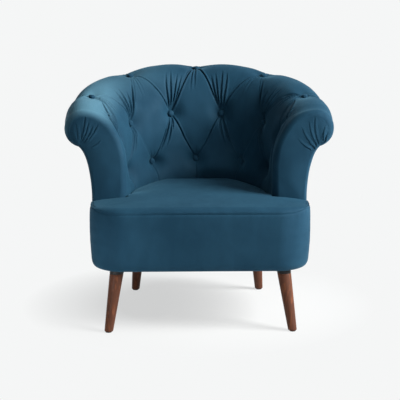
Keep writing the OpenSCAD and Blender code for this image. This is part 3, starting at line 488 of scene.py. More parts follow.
def ripples(points, height, seed, scale=30.0):
    """Low unevenness of stretched cloth, as a sum of waves with seeded directions."""
    waves, quicker, lower, peak = 14, 0.35, 0.3, 3.0
    rng = np.random.default_rng(seed)
    total = np.zeros(points.shape[:-1])
    for wave in range(waves):
        direction = rng.normal(size=3)
        direction /= np.linalg.norm(direction)
        pace = scale * (1.0 + quicker * wave)
        total += np.sin(points @ direction * pace + rng.uniform(0, 2 * math.pi)) / (1 + lower * wave)
    return total * height / peak


def new_mesh(name, vertices, faces, normals=None):
    """A smoothly shaded object from points and faces with equal numbers of corners."""
    mesh = bpy.data.meshes.new(name)
    vertices = np.asarray(vertices, float).reshape(-1, 3)
    faces = np.asarray(faces, int)
    mesh.vertices.add(len(vertices))
    mesh.vertices.foreach_set("co", vertices.ravel())
    corners = faces.shape[1]
    mesh.loops.add(faces.size)
    mesh.loops.foreach_set("vertex_index", faces.ravel())
    mesh.polygons.add(len(faces))
    mesh.polygons.foreach_set("loop_start", np.arange(len(faces)) * corners)
    mesh.update(calc_edges=True)
    mesh.validate()
    mesh.shade_smooth()
    if normals is not None:
        mesh.normals_split_custom_set_from_vertices(np.asarray(normals, float).reshape(-1, 3))
    piece = bpy.data.objects.new(name, mesh)
    bpy.context.scene.collection.objects.link(piece)
    return piece


def grid_faces(rows, columns, closed=False):
    """Quads of a grid whose points are stored row by row; they face the way grid_normals() does."""
    index = np.arange(rows * columns).reshape(rows, columns)
    across = np.roll(index, -1, axis=1) if closed else index[:, 1:]
    here = index if closed else index[:, :-1]
    quads = np.stack([here[:-1], across[:-1], across[1:], here[1:]], -1)
    return quads.reshape(-1, 4)


def turned_over(faces, normals, wrong):
    """The faces and normals of a grid, turned over where they look the wrong way."""
    return (faces[:, ::-1], -normals) if wrong else (faces, normals)


class Shared:
    """What the materials have in common: the finish's colours and the node groups."""

    def __init__(self, finish):
        self.finish = finish
        self.groups = {}

    def group(self, name, inputs, outputs, build):
        """A shader node group with named sockets, built once."""
        if name in self.groups:
            return self.groups[name]
        tree = bpy.data.node_groups.new(name, "ShaderNodeTree")
        kinds = {"Color": "NodeSocketColor", "Vector": "NodeSocketVector"}
        for label, value in inputs.items():
            kind = kinds.get(label.split()[0], "NodeSocketFloat")
            socket = tree.interface.new_socket(label, in_out="INPUT", socket_type=kind)
            socket.default_value = value
        for label in outputs:
            kind = kinds.get(label.split()[0], "NodeSocketFloat")
            tree.interface.new_socket(label, in_out="OUTPUT", socket_type=kind)
        start = tree.nodes.new("NodeGroupInput")
        end = tree.nodes.new("NodeGroupOutput")
        build(tree, start, end)
        self.groups[name] = tree
        return tree


def node(tree, kind, inputs=None, **settings):
    """Adds a node; an input is a value, or a socket to link from."""
    made = tree.nodes.new(kind)
    for key, value in settings.items():
        setattr(made, key, value)
    for key, value in (inputs or {}).items():
        if isinstance(value, bpy.types.NodeSocket):
            tree.links.new(value, made.inputs[key])
        else:
            made.inputs[key].default_value = value
    return made


def maths(tree, operation, a, b=0.0, clamp=False):
    """The result of a Math node."""
    return node(tree, "ShaderNodeMath", {0: a, 1: b}, operation=operation, use_clamp=clamp).outputs[0]


def noise(tree, vector, scale, detail, roughness=0.5, distortion=0.0):
    """The value of a Noise Texture node."""
    values = {
        "Vector": vector, "Scale": scale, "Detail": detail, "Roughness": roughness, "Distortion": distortion,
    }
    return node(tree, "ShaderNodeTexNoise", values).outputs["Fac"]


def ramp(tree, value, low, high, out_low=0.0, out_high=1.0):
    """A value carried from one range to another, and held at its ends."""
    values = {"Value": value, "From Min": low, "From Max": high, "To Min": out_low, "To Max": out_high}
    return node(tree, "ShaderNodeMapRange", values, clamp=True).outputs["Result"]


def mix_colours(tree, factor, a, b, blend="MIX"):
    """The colour that a Mix node puts out."""
    made = node(tree, "ShaderNodeMix", data_type="RGBA", blend_type=blend)
    for key, value in ((0, factor), (6, a), (7, b)):
        if isinstance(value, bpy.types.NodeSocket):
            tree.links.new(value, made.inputs[key])
        else:
            made.inputs[key].default_value = value
    return made.outputs[2]


def rgba(colour):
    """A colour with full opacity."""
    return (*colour, 1.0)


def build_pile(tree, start, end):
    """Brushed areas and fine tufts of a cut pile."""
    where = node(tree, "ShaderNodeTexCoord").outputs["Object"]
    broad = noise(tree, where, start.outputs["Brush scale"], 3.0, 0.55, 0.6)
    streaked = node(tree, "ShaderNodeMapping", {"Vector": where, "Scale": (1.0, 1.0, 0.35)}).outputs[0]
    streaks = noise(tree, streaked, start.outputs["Streak scale"], 4.0, 0.6, 0.2)
    both = maths(tree, "ADD", maths(tree, "MULTIPLY", broad, 0.6), maths(tree, "MULTIPLY", streaks, 0.4))
    tree.links.new(ramp(tree, both, 0.36, 0.66), end.inputs["Brushed"])
    tufts = noise(tree, where, start.outputs["Tuft scale"], 2.0, 0.6)
    tree.links.new(tufts, end.inputs["Tufts"])


def build_weave(tree, start, end):
    """Crossing threads of a plain weave, without UVs: waves along two slanted directions."""
    where = node(tree, "ShaderNodeTexCoord").outputs["Object"]
    scale = start.outputs["Thread scale"]
    threads = []
    for direction in ((1.0, 0.55, 0.25), (-0.35, 0.6, 1.0)):
        along = node(tree, "ShaderNodeVectorMath", {0: where, 1: direction}, operation="DOT_PRODUCT")
        wave = maths(tree, "SINE", maths(tree, "MULTIPLY", along.outputs["Value"], scale))
        threads.append(ramp(tree, wave, -1.0, 1.0))
    cloth = maths(tree, "MAXIMUM", threads[0], threads[1])
    slub = noise(tree, where, maths(tree, "MULTIPLY", scale, 0.02), 3.0, 0.6)
    tree.links.new(cloth, end.inputs["Threads"])
    tree.links.new(slub, end.inputs["Slubs"])


def build_grain(tree, start, end):
    """Long wood grain along Z, with dark veins and pores."""
    where = node(tree, "ShaderNodeTexCoord").outputs["Object"]
    stretch = node(tree, "ShaderNodeMapping", {"Vector": where, "Scale": start.outputs["Vector stretch"]})
    warped = noise(tree, stretch.outputs[0], start.outputs["Vein scale"], 4.0, 0.6, 1.6)
    veins = maths(tree, "SINE", maths(tree, "MULTIPLY", warped, 22.0))
    tree.links.new(ramp(tree, veins, -0.4, 1.0), end.inputs["Veins"])
    fine = maths(tree, "MULTIPLY", start.outputs["Vein scale"], 7.0)
    pores = noise(tree, stretch.outputs[0], fine, 2.0, 0.7)
    tree.links.new(ramp(tree, pores, 0.42, 0.62), end.inputs["Pores"])
    coarse = maths(tree, "MULTIPLY", start.outputs["Vein scale"], 0.5)
    broad = noise(tree, where, coarse, 2.0)
    tree.links.new(broad, end.inputs["Tone"])


def build_speckle(tree, start, end):
    """Fine unevenness of a moulded, sprayed or drawn surface."""
    where = node(tree, "ShaderNodeTexCoord").outputs["Object"]
    tree.links.new(noise(tree, where, start.outputs["Grain scale"], 2.0, 0.6), end.inputs["Grain"])
    tree.links.new(noise(tree, where, start.outputs["Stain scale"], 4.0, 0.6), end.inputs["Stain"])


# The shared node groups: their inputs, their outputs and the function that builds them
EFFECTS = {
    "Pile": (
        {"Brush scale": 7.0, "Streak scale": 26.0, "Tuft scale": 900.0}, ("Brushed", "Tufts"), build_pile,
    ),
    "Weave": ({"Thread scale": 2400.0}, ("Threads", "Slubs"), build_weave),
    "Wood grain": (
        {"Vector stretch": (1.0, 1.0, 0.12), "Vein scale": 24.0}, ("Veins", "Pores", "Tone"), build_grain,
    ),
    "Speckle": ({"Grain scale": 400.0, "Stain scale": 8.0}, ("Grain", "Stain"), build_speckle),
}


def effect(shared, tree, name, **values):
    """Places a shared effect in a material, with its own values."""
    inputs, outputs, build = EFFECTS[name]
    made = tree.nodes.new("ShaderNodeGroup")
    made.node_tree = shared.group(name, inputs, outputs, build)
    for key, value in values.items():
        made.inputs[key.replace("_", " ").capitalize()].default_value = value
    return made.outputs


def new_material(name, **shader):
    """A material with a Principled shader whose plain values are set on its own sockets."""
    material = bpy.data.materials.new(name)
    material.use_nodes = True
    tree = material.node_tree
    principled = tree.nodes["Principled BSDF"]
    for key, value in shader.items():
        principled.inputs[key.replace("_", " ")].default_value = value
    return material, tree, principled


def raise_surface(tree, principled, height, distance, strength):
    """Feeds a height to the shader's Normal, as a bump of a real distance."""
    bump = node(tree, "ShaderNodeBump", {"Height": height, "Distance": distance, "Strength": strength})
    tree.links.new(bump.outputs["Normal"], principled.inputs["Normal"])


def velvet(shared, name="velvet", brush_scale=7.0):
    """Cut pile with brushed areas, and a painted highlight where the mesh's attribute lays one."""
    finish = shared.finish
    material, tree, shader = new_material(
        name, Roughness=0.75, Sheen_Weight=0.13, Sheen_Roughness=0.42,
        Sheen_Tint=rgba(finish.velvet_sheen), Specular_IOR_Level=0.12,
    )
    pile = effect(shared, tree, "Pile", brush_scale=brush_scale)
    base = mix_colours(tree, pile["Brushed"], rgba(finish.velvet), rgba(finish.velvet_light))
    # Painted highlight: lighter velvet where the mesh's attribute asks for it, on the left arm's roll and the
    # left of the crest
    painted_highlight = node(tree, "ShaderNodeAttribute", attribute_name=PAINTED_HIGHLIGHT).outputs["Fac"]
    base = mix_colours(tree, painted_highlight, base, rgba(finish.velvet_painted_highlight))
    tufted = ramp(tree, pile["Tufts"], 0.3, 0.7, 0.82, 1.0)
    tree.links.new(mix_colours(tree, 1.0, base, tufted, "MULTIPLY"), shader.inputs["Base Color"])
    tree.links.new(ramp(tree, pile["Brushed"], 0.0, 1.0, 0.82, 0.66), shader.inputs["Roughness"])
    raise_surface(tree, shader, pile["Tufts"], 0.0006, 0.5)
    return material


def cloth(shared, name, dark, light, thread_scale):
    """Woven cloth, or spun twine."""
    material, tree, shader = new_material(name, Roughness=0.9, Specular_IOR_Level=0.2)
    weave = effect(shared, tree, "Weave", thread_scale=thread_scale)
    tone = maths(tree, "MULTIPLY", weave["Threads"], ramp(tree, weave["Slubs"], 0.3, 0.7, 0.6, 1.0))
    tree.links.new(mix_colours(tree, tone, rgba(dark), rgba(light)), shader.inputs["Base Color"])
    raise_surface(tree, shader, weave["Threads"], 0.0006, 0.6)
    return material


def wood(
    shared, name, vein, body, stretch=(1.0, 1.0, 0.12), vein_scale=24.0, coat=0.0, rough=0.5, gloss=0.5,
):
    """Grained wood, oiled or raw."""
    material, tree, shader = new_material(
        name, Roughness=rough, Specular_IOR_Level=gloss, Coat_Weight=coat, Coat_Roughness=0.25,
    )
    grain = effect(shared, tree, "Wood grain", vein_scale=vein_scale)
    grain[0].node.inputs["Vector stretch"].default_value = stretch
    tone = maths(tree, "MULTIPLY", grain["Veins"], ramp(tree, grain["Tone"], 0.3, 0.7, 0.65, 1.0))
    pored = maths(tree, "MULTIPLY", tone, ramp(tree, grain["Pores"], 0.0, 1.0, 0.7, 1.0))
    tree.links.new(mix_colours(tree, pored, rgba(vein), rgba(body)), shader.inputs["Base Color"])
    roughness = ramp(tree, grain["Pores"], 0.0, 1.0, rough + 0.14, rough - 0.06)
    tree.links.new(roughness, shader.inputs["Roughness"])
    raise_surface(tree, shader, grain["Pores"], 0.0003, 0.35)
    return material


def plain(shared, name, dark, light, grain_scale, rough, metallic=0.0, bump=0.0003, gloss=0.5):
    """A moulded, pressed or drawn surface with fine grain and faint stains."""
    material, tree, shader = new_material(name, Metallic=metallic, Specular_IOR_Level=gloss)
    speckle = effect(shared, tree, "Speckle", grain_scale=grain_scale)
    halves = [maths(tree, "MULTIPLY", speckle[part], 0.5) for part in ("Grain", "Stain")]
    tone = ramp(tree, maths(tree, "ADD", *halves), 0.3, 0.7)
    tree.links.new(mix_colours(tree, tone, rgba(dark), rgba(light)), shader.inputs["Base Color"])
    roughness = ramp(tree, speckle["Stain"], 0.3, 0.7, rough - 0.07, rough + 0.07)
    tree.links.new(roughness, shader.inputs["Roughness"])
    raise_surface(tree, shader, speckle["Grain"], bump, 0.5)
    return material


def make_materials(finish):
    """Every finish of the armchair, by the name of its slot in the record."""
    shared = Shared(finish)
    walnut = {"coat": 0.05, "rough": 0.5, "gloss": 0.2}
    birch = {"stretch": (0.3, 0.3, 2.2), "vein_scale": 60.0, "rough": 0.6}
    recipes = {
        "velvet": (velvet, {}),
        "velvet_buttons": (velvet, {"brush_scale": 40.0}),
        "walnut": (wood, walnut, finish.walnut_vein, finish.walnut),
        "birch_ply": (wood, birch, (0.42, 0.27, 0.14), finish.plywood),
        "hardboard": (plain, {}, (0.16, 0.09, 0.045), (0.27, 0.16, 0.085), 900.0, 0.72),
        "foam": (plain, {"bump": 0.0012}, (0.66, 0.55, 0.24), (0.82, 0.72, 0.40), 1400.0, 0.9),
        "wadding": (plain, {"bump": 0.002}, (0.72, 0.72, 0.70), (0.88, 0.88, 0.86), 260.0, 0.95),
        "hessian": (cloth, {}, (0.20, 0.13, 0.06), (0.50, 0.37, 0.20), 2100.0),
        "dust_cloth": (cloth, {}, (0.008, 0.008, 0.009), (0.03, 0.03, 0.032), 4200.0),
        "spring_steel": (plain, {}, (0.22, 0.22, 0.23), (0.42, 0.42, 0.43), 700.0, 0.38, 1.0),
        "zinc_steel": (plain, {}, (0.46, 0.47, 0.48), (0.66, 0.67, 0.68), 500.0, 0.34, 1.0),
        "black_plastic": (plain, {"gloss": 0.25}, (0.003, 0.003, 0.004), (0.009, 0.010, 0.011), 600.0, 0.5),
        "twine": (cloth, {}, (0.42, 0.40, 0.34), (0.74, 0.71, 0.62), 5200.0),
    }
    return {
        name: make(shared, name, *values, **settings)
        for name, (make, settings, *values) in recipes.items()
    }


class Builder:
    """What an operator works from: the sizes, the wall, the buttoning and the materials."""

    # Made by the first operator, and the same for all of them
    materials = {}

    def __init__(self, scene):
        self.seat = scene.armchair_seat
        self.wall_size = scene.armchair_wall
        self.wall = Wall(self.wall_size, self.seat.seam + self.seat.edge_rise)
        self.buttoning = Buttoning(scene.armchair_buttoning, self.wall)
        if not self.materials:
            self.materials.update(make_materials(scene.armchair_finish))

    def finish(self, piece, slot, node_name, fill=None):
        """Gives a piece its material and its body, and hides the CAD node that it stands for."""
        piece.data.materials.append(self.materials[slot])
        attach(piece, BODY)
        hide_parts(node_name)


def steps(low, high, spacing):
    """Even steps from low to high, near a spacing."""
    return np.linspace(low, high, max(2, int(round((high - low) / spacing)) + 1))


class TuftedCover:
    """One grid for the inside of the wall and the arm fronts, so that its folds run on over its seams.

    Its columns run from the left outside edge over the left arm front, round the inside and back
    over the right arm front. Its rows are heights v of the wall's section.
    """

    # About the lengths of the face and of the roll, which set the number of rows on each
    face_run = 0.40
    roll_run = 0.17
    # Columns of an arm front: of its rounding to the inside, of its front and of its rounding to the outside
    rounding = 14
    front = 40
    outer_rounding = 8
    # Radii of the two roundings, and how far the front between them bulges
    inner_radius = 0.022
    outer_radius = 0.012
    bulge = 0.004
    # The first two columns, tucked in under the outside cover: how deep, and how far behind the facing
    behind_outside = ((0.0065, 0.010), (0.0055, 0.0))
    # Depths of the last three rows, which turn in under the roll, and their fade towards the arm fronts
    lip = (0.0003, 0.0008, 0.0050)
    lip_fade = 0.006
    # The painted highlight on the left arm's roll and crest: how light it is on the left arm, the length from
    # the arm's front over which it is, and the length over which it fades; how light it is on the crest, and
    # its start and fade there
    arm_highlight = (0.75, 0.29, 0.15)
    crest_highlight = (0.27, 0.03, 0.12)
    # Where it comes and where it goes, as heights v with the height that each takes
    highlight_rows = ((0.60, 0.36), (1.45, 0.35))
    # Gathers of the arm fronts, by side: the top and the foot of each, from the centre of the roll
    front_pleats = {
        -1: (
            ((-0.008, 0.044), (0.002, -0.022)), ((-0.020, 0.024), (-0.003, -0.028)),
            ((-0.033, 0.014), (-0.010, -0.034)), ((-0.049, 0.018), (-0.016, -0.033)),
            ((-0.057, -0.033), (-0.032, -0.052)), ((0.020, 0.020), (0.014, -0.030)),
        ),
        1: (
            ((-0.046, 0.006), (-0.006, -0.060)), ((-0.005, 0.041), (0.007, -0.044)),
            ((0.028, 0.013), (0.022, -0.038)), ((0.038, -0.008), (0.028, -0.044)),
            ((-0.024, 0.026), (0.000, -0.050)), ((-0.058, -0.030), (-0.020, -0.064)),
        ),
    }

    def __init__(self, builder):
        self.wall = builder.wall
        self.buttoning = builder.buttoning
        self.size = builder.wall_size
        self.hem = builder.seat.hem
        grid = self.size.grid
        self.v = np.concatenate([
            np.linspace(-1, 0, 12)[:-1],
            np.linspace(0, 1, int(self.face_run / grid))[:-1],
            np.linspace(1, 2, int(self.roll_run / grid)),
        ])
        self.s = steps(-self.wall.end, self.wall.end, grid)
        left, right = self.arm_front(-1), self.arm_front(1)
        inside = self.wall.surface(self.s[None, :], self.v[:, None])
        self.base = np.concatenate([left, inside, right[:, ::-1]], axis=1)
        self.side_columns = left.shape[1]
        self.shape_cover()

    def arm_front(self, side):
        """Columns from the outside edge over the front of an arm to its inside face."""
        wall, v = self.wall, self.v
        s = np.full_like(v, side * wall.end)
        inner, inner_normal = wall.section(s, v)
        corner_normal = wall.outside(s[:1], np.zeros(1))[1]
        roll_normal = inner_normal[-1] + corner_normal[0]
        roll_normal /= np.linalg.norm(roll_normal)
        near_end = smooth((v - 1.45) / 0.55)[:, None]
        inner_normal = mix(inner_normal, roll_normal, near_end)
        inner_normal /= np.linalg.norm(inner_normal, axis=1, keepdims=True)
        radius = mix(self.inner_radius, self.outer_radius, near_end)
        radius = radius * smooth((v + 1.0) / 0.6)[:, None]
        outer, outer_normal = self.outer_edge(s)
        outer_normal = mix(outer_normal, roll_normal, smooth((v - 0.8) / 0.2)[:, None])
        outer_normal /= np.linalg.norm(outer_normal, axis=1, keepdims=True)
        depth = self.size.facing_depth
        columns = [(outer + outer_normal * deep, wall.panel_y + past) for deep, past in self.behind_outside]
        for t in np.linspace(0, 1, self.outer_rounding)[:-1]:
            turn = t * math.pi / 2
            inset = self.outer_radius * (1 - math.cos(turn))
            columns.append((outer + outer_normal * inset, wall.panel_y - depth * math.sin(turn)))
        low, high = outer + outer_normal * self.outer_radius, inner + inner_normal * radius
        for t in np.linspace(0, 1, self.front):
            proud = self.bulge * math.sin(math.pi * t) * smooth((v + 0.1) / 0.5) * smooth((2.02 - v) / 0.6)
            columns.append((mix(low, high, t), wall.arm_front_y - proud))
        for t in np.linspace(1, 0, self.rounding)[1:-1]:
            turn = t * math.pi / 2
            rounded = inner + inner_normal * radius * (1 - math.cos(turn))
            columns.append((rounded, wall.panel_y - depth * math.sin(turn)))
        points = []
        for rz, y in columns:
            x = side * (self.size.inner_radius + rz[:, 0])
            points.append(np.stack([x, np.broadcast_to(y, x.shape), rz[:, 1]], -1))
        return np.stack(points, axis=1)

    def outer_edge(self, s):
        """Outside edge of an arm front for each row: up the outside wall, then up the bend to the roll."""
        wall, v, bend_start = self.wall, self.v, 0.35
        bend_foot = wall.top(s[:1])[0] - self.size.outside_bend
        straight = np.clip((v + 1) / (1 + bend_start), 0, 1)
        plain = np.stack([
            np.full_like(v, self.size.thickness), mix(self.hem, bend_foot, straight),
        ], -1)
        bent, bent_normal = wall.outside(s, np.clip(1 - (v - bend_start) / (1 - bend_start), 0, 1))
        bend = (v > bend_start)[:, None]
        return np.where(bend, bent, plain), np.where(bend, bent_normal, np.array([-1.0, 0.0]))

    def shape_cover(self):
        """Presses the pillows, buttons and folds into the plain surface."""
        buttoning = self.buttoning
        size = buttoning.size
        normals, cell = grid_normals(self.base)
        row, column = (count // 2 for count in self.base.shape[:2])
        if normals[row, column][1] < 0:
            normals = -normals
        depth = np.zeros(self.base.shape[:2])
        s, v = np.meshgrid(self.s, self.v)
        b = buttoning.row_of(v)
        inside = slice(self.side_columns, self.side_columns + len(self.s))
        near = buttoning.near_button(s, b)
        stuffing = self.wall.foot_padding(s) * (1 - smooth(v / 0.26)) * (1 - near)
        depth[:, inside] = buttoning.pillows(s, b) - stuffing
        pinch = np.ones_like(depth)
        pinch[:, inside] = 1 - 0.7 * near ** 2
        paths = [(self.fold_path(controls), *values) for controls, *values in buttoning.folds()]
        paths += [(path, 0.6, 0.8, (0.0, 0.9, 0.9)) for path in self.front_folds()]
        folds = np.zeros_like(depth)
        for path, amount, width, strengths in paths:
            one = amount * fold_depth(self.base, normals, path, size.fold_width * width, strengths)
            folds = np.where(np.abs(one) > np.abs(folds), one, folds)
        covered = smooth((self.v + 0.45) / 0.35)[:, None]
        depth += covered * (pinch * folds * size.fold + ripples(self.base, size.wrinkle, 4))
        lip_share = smooth((self.wall.end - np.abs(self.s)) / self.lip_fade)
        depth[-len(self.lip):, inside] += np.array(self.lip)[:, None] * lip_share
        weight = np.clip(cell / np.median(cell) * 8, 0, 1)
        self.points = self.base + normals * (depth * weight)[..., None]
        self.normals = grid_normals(self.points)[0]
        # Painted highlight on the left arm's roll and the left of the crest
        self.painted_highlight = self.paint_highlight()

    def fold_path(self, controls):
        """Points in space of a curved fold, from its three (station, row) controls."""
        start, middle, finish = np.array(controls)[:, :, None]
        t = np.linspace(0, 1, 25)
        s, b = (1 - t) ** 2 * start + 2 * t * (1 - t) * middle + t * t * finish
        return self.wall.surface(s, self.buttoning.height_of(b))

    def front_folds(self):
        """Gathers on the arm fronts, drawn together where the roll meets the outside."""
        wall, size = self.wall, self.size
        centre = np.array([size.roll_offset, wall.top(np.array([wall.end]))[0] - size.roll_radius])
        folds = []
        for side, pleats in self.front_pleats.items():
            for top, low in pleats:
                ends = centre + np.array([top, low])
                t = np.linspace(0, 1, 18)[:, None]
                across = np.array([[ends[1][1] - ends[0][1], ends[0][0] - ends[1][0]]])
                bow = 0.05 * np.sin(math.pi * t) * across
                r, z = (mix(ends[0], ends[1], t) + bow).T
                x = side * (size.inner_radius + r)
                folds.append(np.stack([x, np.full_like(x, wall.arm_front_y), z], -1))
        return folds

    def piece(self, name, columns):
        """Some columns of the cover as an object, with its share of the painted highlight."""
        points = self.points[:, columns]
        row, column = self.base.shape[0] // 3, self.base.shape[1] // 2
        wrong = self.normals[row, column][1] > 0
        faces, normals = turned_over(grid_faces(*points.shape[:2]), self.normals[:, columns], wrong)
        piece = new_mesh(name, points, faces, normals)
        painted_highlight = piece.data.attributes.new(PAINTED_HIGHLIGHT, "FLOAT", "POINT")
        painted_highlight.data.foreach_set("value", self.painted_highlight[:, columns].ravel())
        return piece

    def paint_highlight(self):
        """How light the painted highlight makes the left arm's roll and the left of the crest, from 0 to 1.
        """
        s, v = np.meshgrid(self.s, self.v)
        arm_share, reach, arm_fade = self.arm_highlight
        crest_share, start, crest_fade = self.crest_highlight
        along = arm_share * smooth((-s - self.wall.end + reach) / arm_fade)
        along += crest_share * smooth((-s - start) / crest_fade)
        coming, going = [smooth((v - low) / fade) for low, fade in self.highlight_rows]
        across = coming * (1 - going)
        painted_highlight = np.zeros(self.base.shape[:2])
        first = self.side_columns
        painted_highlight[:, first:first + len(self.s)] = along * across
        fading = smooth(np.linspace(0, 1, self.rounding))[None, :]
        painted_highlight[:, first - self.rounding:first] = painted_highlight[:, first:first + 1] * fading
        return painted_highlight


def loop_normals(points):
    """Normals of a grid whose columns close on themselves."""
    across = np.roll(points, -1, axis=1) - np.roll(points, 1, axis=1)
    along = np.gradient(points, axis=0)
    normal = np.cross(across, along)
    return normal / np.maximum(np.linalg.norm(normal, axis=-1, keepdims=True), 1e-12)


class InsideCovers(bpy.types.Operator):
    """Builds the quilted covers of the back and arms, with the gathered arm fronts"""

    bl_idname = "armchair.inside_covers"
    bl_label = "Inside covers"
    bl_options = {"REGISTER", "UNDO"}

    def execute(self, context):
        builder = Builder(context.scene)
        cover = TuftedCover(builder)
        first, last = cover.side_columns, cover.side_columns + len(cover.s)
        arc = builder.wall.arc_length
        left_back = first + int(np.searchsorted(cover.s, -arc))
        right_back = first + int(np.searchsorted(cover.s, arc))
        parts = {
            "left_arm_facing": slice(0, first + 1),
            "left_inside_arm_cover": slice(first, left_back + 1),
            "inside_back_cover": slice(left_back, right_back + 1),
            "right_inside_arm_cover": slice(right_back, last),
            "right_arm_facing": slice(last - 1, cover.base.shape[1]),
        }
        for name, columns in parts.items():
            piece = cover.piece(f"quilted_{name}", columns)
            builder.finish(piece, "velvet", name, fill=0.85)
        return {"FINISHED"}


class OutsideCover(bpy.types.Operator):
    """Builds the plain cover round the outside, from under the roll to under the frame"""

    bl_idname = "armchair.outside_cover"
    bl_label = "Outside cover"
    bl_options = {"REGISTER", "UNDO"}

    # The lip behind the roll, and how far the first three rows stand in there
    lip = 0.006
    roll_tuck = 0.0008
    # The bend at the hem, and the reach of the flap under the frame
    hem_bend = 0.008
    hem_flap = 0.026
    # How far the two ends go in behind the arm facings, and the length over which they do
    end_tuck = 0.0035
    end_fade = 0.010

    def execute(self, context):
        builder = Builder(context.scene)
        wall, size = builder.wall, builder.wall_size
        s = steps(-wall.end, wall.end, 0.004)
        rows = self.section(wall, size, s, builder.seat.hem)
        points = np.stack([wall.place(s, row) for row in rows])
        normals = grid_normals(points)[0]
        inwards = 1 if normals[len(rows) // 2, len(s) // 2][1] < 0 else -1
        edge = smooth((wall.end - np.abs(s)) / self.end_fade)[None, :]
        under_roll = smooth((np.arange(len(rows)) - 1) / 4)[:, None]
        tuck = self.end_tuck * (1 - edge) * under_roll + ripples(points, 0.0007, 9, 14.0)
        tuck[:3] += self.roll_tuck * edge
        points = points + inwards * normals * tuck[..., None]
        faces, normals = turned_over(grid_faces(len(rows), len(s)), grid_normals(points)[0], inwards > 0)
        piece = new_mesh("outside_wrap", points, faces, normals)
        builder.finish(piece, "velvet", "outside_cover", fill=0.9)
        return {"FINISHED"}

    def section(self, wall, size, s, hem):
        """Rows of section points, from the lip behind the roll down to the flap under the frame."""
        bent = [wall.outside(s, np.full_like(s, t)) for t in np.linspace(0, 1, 40)]
        rows = [bent[0][0] + self.lip * bent[0][1]] + [place for place, _ in bent]
        top, bend = wall.top(s) - size.outside_bend, self.hem_bend
        for t in np.linspace(0, 1, 40)[1:]:
            rows.append(np.stack([np.full_like(s, size.thickness), mix(top, hem + bend, t)], -1))
        for turn in np.linspace(0, 1, 7)[1:] * math.pi / 2:
            rz = [size.thickness - bend * (1 - math.cos(turn)), hem + bend * (1 - math.sin(turn))]
            rows.append(np.tile(rz, (len(s), 1)))
        rows.append(np.tile([size.thickness - self.hem_flap, hem], (len(s), 1)))
        return rows


def arc_points(centre, radius, start, end, count=24):
    """Points along an arc between two angles in degrees."""
    turns = np.radians(np.linspace(start, end, count))
    return [(centre[0] + radius * math.cos(t), centre[1] + radius * math.sin(t)) for t in turns]


def seat_outline(builder, gap=0.0006, count=520):
    """Plan of the seat top, wide in front of the arms and narrow between them, a gap from the wall.

    Gives evenly spaced points, and the corners of the closed outline.
    """
    seat, wall = builder.seat, builder.wall
    front, back = builder.wall_size.front_y, wall.arm_front_y - gap
    inside = builder.wall_size.inner_radius - gap
    c, half = seat.corner, seat.half_width
    corners = arc_points((half - c, front + c), c, -90, 0)
    corners += [(half, back), (inside, back)]
    stations = np.linspace(wall.end, -wall.end, 90)
    inset = np.stack([-wall.foot_padding(stations) - gap, 0 * stations], -1)
    corners += [tuple(point[:2]) for point in wall.place(stations, inset)]
    corners += [(-inside, back), (-half, back)]
    corners += arc_points((c - half, front + c), c, 180, 270)
    corners = np.array(corners)
    run = np.linalg.norm(np.roll(corners, -1, 0) - corners, axis=1)
    total = np.concatenate([[0], np.cumsum(run)])
    at = np.linspace(0, total[-1], count, endpoint=False)
    closed = np.vstack([corners, corners[:1]])
    return np.stack([np.interp(at, total, closed[:, k]) for k in (0, 1)], -1), closed


def distance_to_outline(points, outline):
    """Distance in plan from each point to the nearest edge of a closed outline."""
    best = np.full(points.shape[:-1], np.inf)
    for a, b in zip(outline[:-1], outline[1:]):
        run = b - a
        if run @ run < 1e-12:
            continue
        t = np.clip(((points - a) @ run) / (run @ run), 0, 1)
        best = np.minimum(best, np.linalg.norm(points - a - t[..., None] * run, axis=-1))
    return best


def corner_sink(builder, x, y):
    """How far the seat's top sinks beside the two arms."""
    seat, wall = builder.seat, builder.wall
    return seat.corner_fall * smooth((y - wall.arm_front_y - 0.01) / 0.10) * smooth((np.abs(x) - 0.09) / 0.11)


def seam_height(builder, x, y):
    """Height of the seam, which climbs a little as it turns the two front corners."""
    seat = builder.seat
    behind = smooth((y - builder.wall_size.front_y) / 0.07)
    return seat.seam + seat.seam_lift * behind * smooth((np.abs(x) - 0.235) / 0.08)


